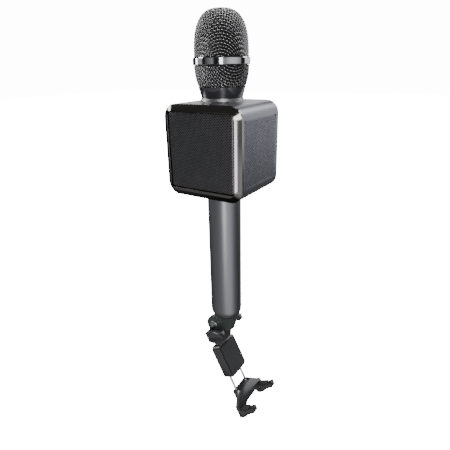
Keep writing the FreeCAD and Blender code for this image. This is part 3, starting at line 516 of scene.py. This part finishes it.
CAD_FINISHES: dict[str, tuple[str, ...]] = {
    "sleeve_anodised": ("speaker_sleeve",),
    "handle_anodised": ("handle_tube",),
    "neck_anodised": ("neck_ring",),
    "band_dark_chrome": ("grille_band",),
    "collar_gloss_black": ("grille_collar",),
    "inner_moulding": ("front_baffle", "board_standoffs", "handle_flange", "battery_carrier", "aux_jack"),
    "driver_steel": ("driver_basket",),
    "magnet_ferrite": ("driver_magnet",),
    "coil_wire": ("voice_coil",),
    "cone_pulp": ("driver_cone", "dust_cap"),
    "pad_rubber": ("driver_surround",),
    "plated_steel": ("driver_screws", "neck_nut", "usb_socket", "flange_screws", "battery_contacts"),
    "solder_mask": ("main_board",),
    "chip_epoxy": ("board_components", "button_switches"),
    "light_lens": ("light_pipe",),
    "cradle_rubber": ("capsule_cradle",),
    "capsule_metal": ("mic_capsule",),
    "cell_wrap": ("battery_cell",),
    "ground_rod": ("guide_rods", "clamp_springs"),
}


def dress_cad_nodes(finishes: Finishes) -> None:
    """Give each CAD node that stays its finish."""
    for finish, nodes in CAD_FINISHES.items():
        for node in nodes:
            mesh = NODES[node].data
            mesh.materials.clear()
            mesh.materials.append(finishes[finish])


# ---------------------------------------------------------------- the grille head

@dataclass
class TurnedProfile:
    """A profile turned about Z, walked by its length from a pole."""

    radii: np.ndarray
    heights: np.ndarray
    start: float = 0.0

    def __post_init__(self) -> None:
        """Measure the length along the profile and its outward normals."""
        steps = np.hypot(np.diff(self.radii), np.diff(self.heights))
        self.lengths = self.start + np.concatenate([[0.0], np.cumsum(steps)])
        slope_r = np.gradient(self.radii, self.lengths)
        slope_h = np.gradient(self.heights, self.lengths)
        size = np.hypot(slope_r, slope_h)
        self.normal_r = -slope_h / size
        self.normal_h = slope_r / size
        if self.normal_r[-1] < 0:
            self.normal_r, self.normal_h = -self.normal_r, -self.normal_h

    @property
    def end(self) -> float:
        """The length at the profile's far end."""
        return float(self.lengths[-1])

    def press(self, points: np.ndarray) -> np.ndarray:
        """Press a flat sheet's points, rows of x, y and height above it, onto the surface."""
        reach = np.hypot(points[:, 0], points[:, 1])
        turn = np.arctan2(points[:, 1], points[:, 0])
        radius = np.interp(reach, self.lengths, self.radii) + points[:, 2] * np.interp(
            reach, self.lengths, self.normal_r)
        height = np.interp(reach, self.lengths, self.heights) + points[:, 2] * np.interp(
            reach, self.lengths, self.normal_h)
        return np.column_stack([radius * np.cos(turn), radius * np.sin(turn), height])


@dataclass
class GrilleHead:
    """The woven wire head: a dome over a band over a bowl, with cloth inside and a glossy collar below."""

    finishes: Finishes
    pitch: float = 2.0 * MM
    wire: float = 0.26 * MM
    crimp: float = 0.30 * MM
    weave_turn: float = 30.0
    sides: int = 5
    dome_power: float = 2.8
    bowl_start: float = 19.0 * MM
    foam_inset: float = 1.35 * MM
    foam_thick: float = 2.8 * MM
    lump_rate: float = 1900.0
    lump_height: float = 0.004
    body: str = "grille_head"

    def wire_pair(self, reach: float, over: float) -> Piece:
        """Model two neighbouring crimped wires along X; the first goes over at the centre if over is 1."""
        step = self.pitch / 2
        half_steps = math.ceil(reach / step)
        wires = []
        for row in (0, 1):
            wire = primitive("cylinder", vertices=self.sides, radius=self.wire, depth=step,
                             end_fill_type="NOTHING", rotation=(0, math.radians(90), 0),
                             location=((0.5 - half_steps) * step, 0, 0))
            repeat(wire, 2 * half_steps, (step, 0, 0))
            sign = over * (1 - 2 * row)

            def crimp(points: np.ndarray, sign: float = sign, row: int = row) -> np.ndarray:
                """Wave a straight wire up and down and set it in its row."""
                bent = points.copy()
                bent[:, 2] += sign * self.crimp * np.cos(math.pi * points[:, 0] / self.pitch)
                bent[:, 1] += row * self.pitch
                return bent

            move_points(wire, crimp)
            wires.append(wire)
        return join(wires, "wire_pair")

    def weave(self, name: str, inner: float, outer: float) -> Piece:
        """Weave a flat ring of plain cloth from crimped wires, from an inner radius to an outer one."""
        pairs = math.ceil(outer / self.pitch / 2)
        sheets = []
        for turned in (False, True):
            sheet = self.wire_pair(outer, -1.0 if turned else 1.0)
            repeat(sheet, 2 * pairs, (0, 2 * self.pitch, 0))
            place(sheet, (0, -2 * pairs * self.pitch, 0))
            if turned:
                place(sheet, turn=(0, 0, math.radians(90)))
            sheets.append(sheet)
        cloth = join(sheets, name)
        drop_points(cloth, lambda point: not inner <= math.hypot(point.x, point.y) <= outer)
        place(cloth, turn=(0, 0, math.radians(self.weave_turn)))
        return cloth

    def mark_crowns(self, cloth: Piece) -> None:
        """Note how high each point stands in the weave, from 0 at the back to 1 at the crowns, for the wire's
        painted shade.
        """
        mesh = cloth.data
        flat = np.empty(len(mesh.vertices) * 3)
        mesh.vertices.foreach_get("co", flat)
        depth = self.wire + self.crimp
        crown = mesh.attributes.new("crown", "FLOAT", "POINT")
        crown.data.foreach_set("value", (flat[2::3] / depth + 1) / 2)

    def dome_profile(self, inset: float, stations: int = 160) -> TurnedProfile:
        """Give the dome's profile, inset from the CAD surface, from its crown to the band."""
        low, high = extent("grille_dome")
        turn = np.linspace(math.pi / 2, 0, stations)
        rise = np.sin(turn)
        wide = (high.x - inset) * (1 - rise ** self.dome_power) ** (1 / self.dome_power)
        return TurnedProfile(wide, low.z + (high.z - low.z - inset) * rise)

    def bowl_profile(self, inset: float, stations: int = 60) -> TurnedProfile:
        """Give the bowl's profile from the collar up to the band."""
        low, high = extent("grille_lower")
        depth = 29.0 * MM
        heights = np.linspace(low.z, high.z, stations)
        wide = (high.x - inset) * np.sqrt(1 - ((high.z - heights) / depth) ** 2)
        return TurnedProfile(wide, heights, self.bowl_start)

    def woven(self, name: str, profile: TurnedProfile, node: str) -> None:
        """Weave a sheet, press it onto a profile and let it stand for a CAD node."""
        inner = profile.start if profile.start > 0 else -1.0
        cloth = self.weave(name, inner, profile.end)
        if profile.start > 0:
            move_points(cloth, lambda points: points * np.array([1, -1, 1]))
        self.mark_crowns(cloth)
        move_points(cloth, profile.press)
        edit(cloth)
        bpy.ops.mesh.normals_make_consistent(inside=False)
        close_edit()
        smooth(cloth, 80)
        fit(cloth, self.finishes["mesh_wire"], self.body, [node])

    def lining(self, name: str, profile: TurnedProfile, thick: float, finish: str,
               instead_of: Sequence[str] = (), segments: int = 120) -> Piece:
        """Wrap a grid round an outer profile, as a cloth or foam lining inside the wires, and fit it."""
        stations = len(profile.radii)
        piece = primitive("grid", name, x_subdivisions=segments, y_subdivisions=stations - 1, size=2)

        def wrap(points: np.ndarray) -> np.ndarray:
            """Wrap the flat grid round the profile's axis."""
            turn = points[:, 0] * math.pi
            station = (points[:, 1] + 1) / 2 * (stations - 1)
            radius = np.interp(station, np.arange(stations), profile.radii)
            height = np.interp(station, np.arange(stations), profile.heights)
            return np.column_stack([radius * np.cos(turn), radius * np.sin(turn), height])

        move_points(piece, wrap)
        weld(piece, 0.01 * MM)
        apply_modifier(piece, "SOLIDIFY", thickness=thick, offset=-1.0)
        smooth(piece, 60)
        return fit(piece, self.finishes[finish], self.body, instead_of)

    def foam(self) -> None:
        """Line the dome with moulded open-cell foam, a little lumpy."""
        piece = self.lining("dome_foam", self.dome_profile(self.foam_inset, 72), self.foam_thick,
                            "acoustic_foam", ["foam_liner"], 180)

        def lumps(points: np.ndarray) -> np.ndarray:
            """Swell and dent the skin on a scale of a few millimetres."""
            waves = np.sin(points[:, 0] * self.lump_rate) * np.sin(points[:, 1] * self.lump_rate + 1)
            waves *= np.sin(points[:, 2] * self.lump_rate + 2)
            bent = points.copy()
            bent[:, :2] *= (1 + self.lump_height * waves)[:, None]
            return bent

        move_points(piece, lumps)

    def build(self) -> None:
        """Make the dome, the bowl, the bowl's cloth lining and the dome's foam."""
        depth = self.wire + self.crimp
        self.woven("dome_weave", self.dome_profile(depth), "grille_dome")
        self.woven("bowl_weave", self.bowl_profile(depth), "grille_lower")
        self.lining("bowl_lining", self.bowl_profile(2 * depth + 0.1 * MM, 14), 0.4 * MM,
                    "acoustic_cloth")
        self.foam()


# ---------------------------------------------------------------- the cube

@dataclass
class PerforatedSheet:
    """A sheet with round holes in a diagonal lattice, cut to a rounded rectangle in the XZ plane."""

    name: str
    width: float
    height: float
    corner: float
    cell: float
    hole: float
    thick: float

    def one_cell(self) -> Piece:
        """Model one square cell with its eight-sided hole."""
        cell = primitive("plane", size=self.cell, rotation=(math.radians(90), 0, 0))
        edit(cell)
        bpy.ops.mesh.inset(thickness=(self.cell - self.hole) / 2)
        bpy.ops.mesh.bevel(offset=self.hole * 0.293, affect="VERTICES", segments=1, clamp_overlap=False)
        bpy.ops.mesh.delete(type="FACE")
        close_edit()
        return cell

    def cut(self, sheet: Piece, place: Sequence[float], normal: Sequence[float]) -> None:
        """Cut away what lies beyond a plane."""
        edit(sheet)
        bpy.ops.mesh.bisect(plane_co=place, plane_no=normal, clear_outer=True)
        close_edit()

    def build(self) -> Piece:
        """Make the sheet, centred on the origin and facing -Y."""
        sheet = self.one_cell()
        count = math.ceil((self.width + self.height) / self.cell / math.sqrt(2)) + 2
        repeat(sheet, count, (self.cell, 0, 0))
        repeat(sheet, count, (0, 0, self.cell))
        middle = -(count - 1) * self.cell / 2
        place(sheet, (middle, 0, middle))
        place(sheet, turn=(0, math.radians(45), 0))
        half_w, half_h = self.width / 2, self.height / 2
        for side in (-1, 1):
            self.cut(sheet, (side * half_w, 0, 0), (side, 0, 0))
            self.cut(sheet, (0, 0, side * half_h), (0, 0, side))
        for side in (-1, 1):
            for level in (-1, 1):
                for degrees in (15, 45, 75):
                    angle = math.radians(degrees)
                    way = Vector((side * math.cos(angle), 0, level * math.sin(angle)))
                    centre = Vector((side * (half_w - self.corner), 0, level * (half_h - self.corner)))
                    self.cut(sheet, centre + way * self.corner, way)
        apply_modifier(sheet, "SOLIDIFY", thickness=self.thick, offset=-1.0)
        title(sheet, self.name)
        return sheet


def rounded_loop(name: str, width: float, height: float, corner: float, depth: float) -> Piece:
    """Make a rim of a round section, its radius the depth, along a rounded rectangle in the XZ plane."""
    loop = primitive("plane", scale=(width, height, 1), size=1, rotation=(math.radians(90), 0, 0))
    edit(loop)
    bpy.ops.mesh.bevel(offset=corner, affect="VERTICES", segments=8)
    bpy.ops.mesh.select_all(action="SELECT")
    bpy.ops.mesh.delete(type="ONLY_FACE")
    close_edit()
    only(loop)
    bpy.ops.object.convert(target="CURVE")
    loop.data.bevel_depth = depth
    loop.data.bevel_resolution = 2
    bpy.ops.object.convert(target="MESH")
    title(loop, name)
    return loop


@dataclass
class CubeSpeaker:
    """The cube's shell, its sloped bezel, its three perforated grilles and the cloth behind them."""

    finishes: Finishes
    front_cell: float = 1.5 * MM
    front_hole: float = 0.98 * MM
    side_cell: float = 1.6 * MM
    side_hole: float = 1.0 * MM
    roll: float = 2.0 * MM
    crown: float = 0.35 * MM

    def front_grille(self) -> None:
        """Make the front grille with its rolled edges, and its rim."""
        low, high = extent("front_grille")
        centre = (low + high) / 2
        width, height = high.x - low.x, high.z - low.z
        sheet = PerforatedSheet("front_grille_mesh", width, height, 4.2 * MM, self.front_cell,
                                self.front_hole, 0.5 * MM).build()

        def rolled(points: np.ndarray) -> np.ndarray:
            """Roll the sheet back near its edges and crown its middle."""
            bent = points.copy()
            across = np.abs(points[:, 0])
            up = np.abs(points[:, 2])
            edge = np.minimum(width / 2 - across, height / 2 - up)
            short = np.clip(self.roll - edge, 0, self.roll)
            bent[:, 1] += self.roll - np.sqrt(np.maximum(self.roll ** 2 - short ** 2 * 0.85, 0))
            bent[:, 1] += self.crown * np.maximum(across / width * 2, up / height * 2) ** 2
            return bent + np.array([0, low.y, centre.z])

        move_points(sheet, rolled)
        smooth(sheet, 40)
        fit(sheet, self.finishes["front_grille_paint"], "root", ["front_grille"])
        rim = rounded_loop("front_grille_rim", width - 0.5 * MM, height - 0.5 * MM, 4.0 * MM, 0.25 * MM)
        place(rim, (0, low.y + 1.75 * MM, centre.z))
        smooth(rim, 60)
        fit(rim, self.finishes["front_grille_paint"], "root")

    def side_grille(self, node: str, side: int) -> None:
        """Make a side grille with its rim."""
        low, high = extent(node)
        centre = (low + high) / 2
        depth, height = high.y - low.y, high.z - low.z
        sheet = PerforatedSheet(node + "_mesh", depth, height, 3.0 * MM, self.side_cell, self.side_hole,
                                0.4 * MM).build()
        rim = rounded_loop(node + "_rim", depth - 0.3 * MM, height - 0.3 * MM, 2.9 * MM, 0.18 * MM)
        for piece, inset in ((sheet, 0.0), (rim, 0.2 * MM)):
            outside = high.x if side > 0 else low.x
            place(piece, (outside - side * inset, centre.y, centre.z), (0, 0, math.radians(90 * side)))
            smooth(piece, 40)
        fit(sheet, self.finishes["side_grille_anodised"], "root", [node])
        fit(rim, self.finishes["side_grille_anodised"], "root")

    def cloth(self, name: str, low: Vector, high: Vector) -> None:
        """Make a flat panel of black cloth with softened edges."""
        panel = primitive("cube", name, high - low, size=1, location=(low + high) / 2)
        thin = min(high - low)
        apply_modifier(panel, "BEVEL", width=thin * 0.45, segments=3, limit_method="NONE")
        smooth(panel)
        fit(panel, self.finishes["acoustic_cloth"], "root")

    def cloths(self) -> None:
        """Hang cloth behind each grille."""
        low, high = extent("front_grille")
        self.cloth("front_cloth", Vector((low.x + MM, high.y - 0.3 * MM, low.z + MM)),
                   Vector((high.x - MM, high.y + 0.1 * MM, high.z - MM)))
        for node, side in (("side_grille_right", 1), ("side_grille_left", -1)):
            low, high = extent(node)
            inner = (low.x if side > 0 else high.x) + side * 0.1 * MM
            span = sorted((inner, inner + side * 0.3 * MM))
            self.cloth(node + "_cloth", Vector((span[0], low.y + 0.3 * MM, low.z + 0.3 * MM)),
                       Vector((span[1], high.y - 0.3 * MM, high.z - 0.3 * MM)))

    def build(self) -> None:
        """Make every outer piece of the cube."""
        softened("front_bezel", 0.7, self.finishes["bezel_black_chrome"], 4)
        softened("rear_bezel", 0.5, self.finishes["bezel_black_chrome"])
        self.front_grille()
        self.side_grille("side_grille_right", 1)
        self.side_grille("side_grille_left", -1)
        self.cloths()


# ---------------------------------------------------------------- the control panel

class Mark(Enum):
    """The sign on a button."""

    PLAY = "play_button"
    PREVIOUS = "previous_button"
    NEXT = "next_button"
    LOUDER = "volume_up_button"
    SOFTER = "volume_down_button"
    POWER = "power_button"
    ECHO = "echo_button"


@dataclass
class ControlPanel:
    """The rear panel with its buttons, their signs and its screws."""

    finishes: Finishes
    raised: float = 0.08 * MM
    stroke: float = 0.55 * MM

    def bar(self, across: float, up: float, wide: float, tall: float) -> Piece:
        """Make a flat bar in the XZ plane."""
        return primitive("cube", scale=(wide, self.raised, tall), size=1, location=(across, 0, up))

    def arrow(self, size: float, way: int) -> Piece:
        """Make a flat triangle that points along X."""
        piece = primitive("cylinder", vertices=3, radius=size, depth=self.raised,
                          rotation=(math.radians(90), 0, 0))
        place(piece, turn=(0, math.radians(90 * way), 0))
        return piece

    def ring(self, radius: float, start: float = 0.0, sweep: float = 360.0) -> Piece:
        """Make a flat ring or part of one by spinning a small square."""
        piece = primitive("plane", scale=(self.stroke, self.raised, 1), size=1, location=(radius, 0, 0))
        place(piece, turn=(0, math.radians(-start), 0))
        edit(piece)
        bpy.ops.mesh.spin(steps=28, angle=math.radians(-sweep), center=(0, 0, 0), axis=(0, 1, 0))
        weld(piece, 0.005 * MM)
        return piece

    def sign(self, mark: Mark, size: float) -> Piece:
        """Make the sign for one button, of a half width, centred on the origin."""
        if mark is Mark.PLAY:
            parts = [self.arrow(size, 1), self.bar(-size * 0.95, 0, self.stroke, size * 1.5),
                     self.bar(-size * 1.3, 0, self.stroke, size * 1.5)]
        elif mark in (Mark.PREVIOUS, Mark.NEXT):
            way = 1 if mark is Mark.PREVIOUS else -1
            parts = [self.arrow(size * 0.8, way), self.bar(way * size, 0, self.stroke, size * 1.3)]
        elif mark is Mark.LOUDER:
            parts = [self.bar(0, 0, size * 1.7, self.stroke), self.bar(0, 0, self.stroke, size * 1.7)]
        elif mark is Mark.SOFTER:
            parts = [self.bar(0, 0, size * 1.7, self.stroke)]
        elif mark is Mark.POWER:
            parts = [self.ring(size, -60, 300), self.bar(0, size * 0.8, self.stroke, size * 1.1)]
        else:
            parts = [self.ring(size * 0.35), self.ring(size, -50, 100), self.ring(size, 130, 100)]
        return join(parts, mark.value + "_sign")

    def buttons(self) -> None:
        """Round each button's cap and paint its sign on it."""
        for mark in Mark:
            node = mark.value
            softened(node, 0.35, self.finishes["button_moulding"])
            low, high = extent(node)
            piece = self.sign(mark, (high.x - low.x) * 0.17)
            place(piece, ((low.x + high.x) / 2, high.y + self.raised * 0.3, (low.z + high.z) / 2))
            fit(piece, self.finishes["mark_paint"], node)

    def build(self) -> None:
        """Make the panel, the buttons and the screws."""
        softened("rear_panel", 0.2, self.finishes["panel_moulding"])
        self.buttons()
        CrossHeadScrews("rear_screws", (0, 1, 0)).build(self.finishes)


@dataclass
class CrossHeadScrews:
    """A group of screws whose domed heads have a cross recess, made from their CAD solids."""

    node: str
    way: Triple
    bit: float = 0.55 * MM
    head: float = 1.4 * MM
    recess: float = 1.2 * MM

    def islands(self) -> list[tuple[Vector, float]]:
        """Find each screw's head: the middle of its top face, and its radius."""
        welded_copy(self.node, "screw_measure")
        bpy.ops.mesh.separate(type="LOOSE")
        close_edit()
        found = []
        for part in list(bpy.context.selected_objects):
            points = [vertex.co.copy() for vertex in part.data.vertices]
            way = Vector(self.way)
            top = max(point.dot(way) for point in points)
            face = [point for point in points if point.dot(way) > top - 0.01 * MM]
            centre = sum(face, Vector()) / len(face)
            found.append((centre, max((point - centre).length for point in face)))
            bpy.data.objects.remove(part)
        return found

    def build(self, finishes: Finishes) -> None:
        """Make the heads and let them stand for the CAD node."""
        heads = []
        turn = Vector((0, 0, 1)).rotation_difference(Vector(self.way)).to_matrix().to_4x4()
        for centre, radius in self.islands():
            head = primitive("cylinder", vertices=32, radius=radius, depth=self.head,
                             location=(0, 0, -self.head / 2))
            apply_modifier(head, "BEVEL", width=0.4 * MM, segments=4, limit_method="ANGLE",
                           angle_limit=math.radians(60))
            for across, along in ((radius * 1.2, self.bit), (self.bit, radius * 1.2)):
                cutter = primitive("cube", scale=(across, along, self.recess), size=1)
                apply_modifier(head, "BOOLEAN", operation="DIFFERENCE", object=cutter, solver="EXACT")
                bpy.data.objects.remove(cutter)
            head.matrix_world = Matrix.Translation(centre) @ turn
            settle(head)
            heads.append(head)
        piece = join(heads, self.node + "_cross_head")
        smooth(piece, 40)
        fit(piece, finishes["plated_steel"], body_of_node(self.node), [self.node])


# ---------------------------------------------------------------- foot and clamp

@dataclass
class Foot:
    """The plug under the handle with its hinge pin and knurled thumb nut."""

    finishes: Finishes
    flutes: int = 22
    rim: float = 0.97
    flute: float = 0.07

    def thumb_nut(self) -> None:
        """Make the knurled nut."""
        low, high = extent("thumb_nut")
        radius = (high.x - low.x) / 2
        centre = (low + high) / 2
        nut = primitive("cylinder", "thumb_nut_knurled", vertices=self.flutes * 4, radius=radius,
                        depth=high.y - low.y, location=centre, rotation=(math.radians(90), 0, 0))

        def fluted(points: np.ndarray) -> np.ndarray:
            """Sink the flutes into the nut's rim."""
            bent = points.copy()
            across, up = points[:, 0] - centre.x, points[:, 2] - centre.z
            turn = np.arctan2(up, across)
            sink = self.rim - self.flute * (0.5 + 0.5 * np.cos(self.flutes * turn))
            bent[:, 0] = centre.x + across * sink
            bent[:, 2] = centre.z + up * sink
            return bent

        move_points(nut, fluted)
        apply_modifier(nut, "BEVEL", width=0.35 * MM, segments=2, limit_method="ANGLE",
                       angle_limit=math.radians(60))
        smooth(nut, 40)
        fit(nut, self.finishes["foot_moulding"], "holder_swivel", ["thumb_nut"])

    def build(self) -> None:
        """Make the foot's pieces."""
        softened("end_plug", 0.5, self.finishes["foot_moulding"])
        softened("hinge_pin", 0.3, self.finishes["plated_steel"])
        self.thumb_nut()


@dataclass
class PhoneClamp:
    """The clamp: body, two jaws, their rubber pads and the screws."""

    finishes: Finishes

    def build(self) -> None:
        """Make the clamp's pieces."""
        gloss = self.finishes["clamp_moulding"]
        softened("clamp_body", 0.8, gloss)
        softened("upper_jaw", 0.9, gloss, 4)
        softened("lower_jaw", 0.9, gloss, 4)
        rubber = self.finishes["pad_rubber"]
        softened("clamp_pad", 0.35, rubber)
        softened("upper_jaw_pads", 0.3, rubber)
        softened("lower_jaw_pads", 0.3, rubber)
        lean = frame["record"]["behaviour"]["joints"][-1]["axis"]
        out_of_back = (lean[2], 0.0, -lean[0])
        CrossHeadScrews("clamp_screws", out_of_back).build(self.finishes)


# ---------------------------------------------------------------- the studio

@dataclass
class Studio:
    """A pale floor, soft lights and the camera."""

    azimuth: float = 32.59
    elevation: float = 21.87
    roll: float = -1.13
    distance: float = 310.4 * MM
    aside: float = 1.32 * MM
    below: float = -60.90 * MM
    lens: float = 31.83
    floor_drop: float = 120 * MM
    strip_power: float = 1.15
    backdrop_power: float = 18.0
    fill_power: float = 0.5

    LEVEL_STRIPS: ClassVar[Levels] = (
        (-180, 0.02), (-128, 0.02), (-120, 0.45), (-88, 0.60), (-80, 0.02), (-70, 0.02), (-66, 0.10),
        (-36, 0.35), (-29, 0.015), (-8, 0.015), (-4, 0.30), (14, 0.35), (36, 0.95), (58, 0.90), (80, 0.35),
        (85, 0.015), (102, 0.015), (108, 1.3), (150, 1.3), (156, 0.02), (180, 0.02))
    LOWER_STRIPS: ClassVar[Levels] = (
        (-180, 0.05), (-125, 0.06), (-90, 0.24), (-50, 0.34), (-20, 0.42), (5, 0.66), (22, 1.15), (40, 0.95),
        (60, 0.32), (85, 0.10), (105, 0.08), (140, 0.16), (165, 0.08), (180, 0.04))

    def camera(self) -> None:
        """Place the camera about the cube's centre."""
        turn, lift, tip = (math.radians(angle) for angle in (self.azimuth, self.elevation, self.roll))
        back = Vector((math.sin(turn) * math.cos(lift), -math.cos(turn) * math.cos(lift), math.sin(lift)))
        level = (-back).cross(Vector((0, 0, 1))).normalized()
        upright = level.cross(-back)
        right = math.cos(tip) * level + math.sin(tip) * upright
        up = math.cos(tip) * upright - math.sin(tip) * level
        low, high = extent("speaker_sleeve")
        centre = Vector((0, 0, (low.z + high.z) / 2))
        data = bpy.data.cameras.new("camera")
        data.lens = self.lens
        data.sensor_width = 36.0
        data.clip_start = 0.01
        camera = bpy.data.objects.new("camera", data)
        where = centre + back * self.distance + right * self.aside + up * self.below
        camera.matrix_world = Matrix.Translation(where) @ Matrix((right, up, back)).transposed().to_4x4()
        bpy.context.scene.collection.objects.link(camera)
        bpy.context.scene.camera = camera

    def lamp(self, name: str, where: Triple, aim: Triple, size: tuple[float, float], power: float) -> None:
        """Hang one soft rectangular lamp, of a width and height in metres and a power in watts."""
        data = bpy.data.lights.new(name, "AREA")
        data.shape = "RECTANGLE"
        data.size, data.size_y = size
        data.energy = power
        lamp = bpy.data.objects.new(name, data)
        lamp.location = where
        lamp.rotation_euler = (Vector(aim) - Vector(where)).to_track_quat("-Z", "Y").to_euler()
        bpy.context.scene.collection.objects.link(lamp)

    def world(self) -> None:
        """Set a white backdrop for the eye, strips of light for reflections and an even fill."""
        world = bpy.data.worlds.new("studio")
        world.use_nodes = True
        bpy.context.scene.world = world
        tree = world.node_tree
        tree.nodes.clear()
        way = add(tree, "TexCoord").outputs["Generated"]
        turn = add(tree, "Mapping", {"Vector": way, "Rotation": (0, 0, math.radians(90 - self.azimuth))})
        height = add(tree, "SeparateXYZ", {"Vector": way}).outputs["Z"]

        def strips(levels: Levels) -> Socket:
            """Paint upright strips of light round the studio, from bearings in degrees and brightnesses."""
            around = add(tree, "TexGradient", {"Vector": turn.outputs["Vector"]}, gradient_type="RADIAL")
            return ramp(tree, around.outputs["Fac"], [(bearing / 360 + 0.5, (level, level, level * 1.03, 1))
                                                      for bearing, level in levels])

        def climb(low: float, high: float, below: object, above: object) -> Socket:
            """Pass from one colour to another as a direction climbs from one height to another."""
            mask = add(tree, "MapRange", {"Value": height, "From Min": low, "From Max": high})
            return add(tree, "Mix", {0: mask.outputs["Result"], 6: below, 7: above},
                       data_type="RGBA").outputs[2]

        shaded = climb(-0.30, -0.12, strips(self.LOWER_STRIPS), strips(self.LEVEL_STRIPS))
        for low, high, level in ((-0.88, -0.70, 0.02), (0.45, 0.20, 0.07)):
            shaded = climb(low, high, (level, level, level, 1), shaded)
        fill = add(tree, "Background", {"Color": (0.96, 0.97, 1.0, 1), "Strength": self.fill_power})
        lit = add(tree, "Background", {"Color": shaded, "Strength": self.strip_power})
        white = add(tree, "Background", {"Strength": self.backdrop_power})
        path = add(tree, "LightPath").outputs
        seen = fill.outputs[0]
        for ray, light in (("Is Glossy Ray", lit), ("Is Camera Ray", white)):
            seen = add(tree, "MixShader", {"Fac": path[ray], 1: seen, 2: light.outputs[0]}).outputs[0]
        add(tree, "OutputWorld", {"Surface": seen})

    def floor(self) -> None:
        """Lay the pale floor below the hanging clamp; only the eye sees it."""
        floor = primitive("plane", "studio_floor", size=12, location=(0, 0, CAD_BOX[0][2] - self.floor_drop))
        material = bpy.data.materials.new("studio_floor")
        material.use_nodes = True
        feed(material.node_tree, material.node_tree.nodes["Principled BSDF"], {
            "Base Color": (0.9, 0.9, 0.9, 1), "Roughness": 0.9, "Emission Color": (1, 1, 1, 1),
            "Emission Strength": self.backdrop_power})
        floor.data.materials.append(material)
        floor.visible_glossy = False
        floor.visible_diffuse = False
        floor.visible_shadow = False

    def build(self) -> None:
        """Set up the whole studio."""
        self.camera()
        self.world()
        self.floor()
        middle = (0.0, 0.0, 0.06)
        self.lamp("key", (0.55, -0.75, 0.55), middle, (0.25, 0.7), 6.0)
        self.lamp("rim_left", (-0.8, -0.1, 0.5), middle, (0.2, 0.8), 5.0)
        self.lamp("top", (0.05, 0.1, 0.9), middle, (0.5, 0.5), 4.0)
        self.lamp("back", (-0.45, 0.75, 0.45), middle, (0.6, 0.4), 1.6)
        self.lamp("back_right", (0.35, 0.75, 0.62), middle, (0.5, 0.3), 2.5)
        self.lamp("low_front", (0.35, -0.6, -0.05), (0.0, 0.0, -0.1), (0.15, 0.5), 1.6)


def main() -> None:
    """Build the microphone's looks and the studio, in order."""
    logging.basicConfig(level=logging.INFO, format="%(name)s: %(message)s")
    finishes = Finishes()
    dress_cad_nodes(finishes)
    for assembly in (GrilleHead(finishes), CubeSpeaker(finishes), ControlPanel(finishes), Foot(finishes),
                     PhoneClamp(finishes), Studio()):
        LOG.info("building %s", type(assembly).__name__)
        assembly.build()


if __name__ == "__main__":
    main()
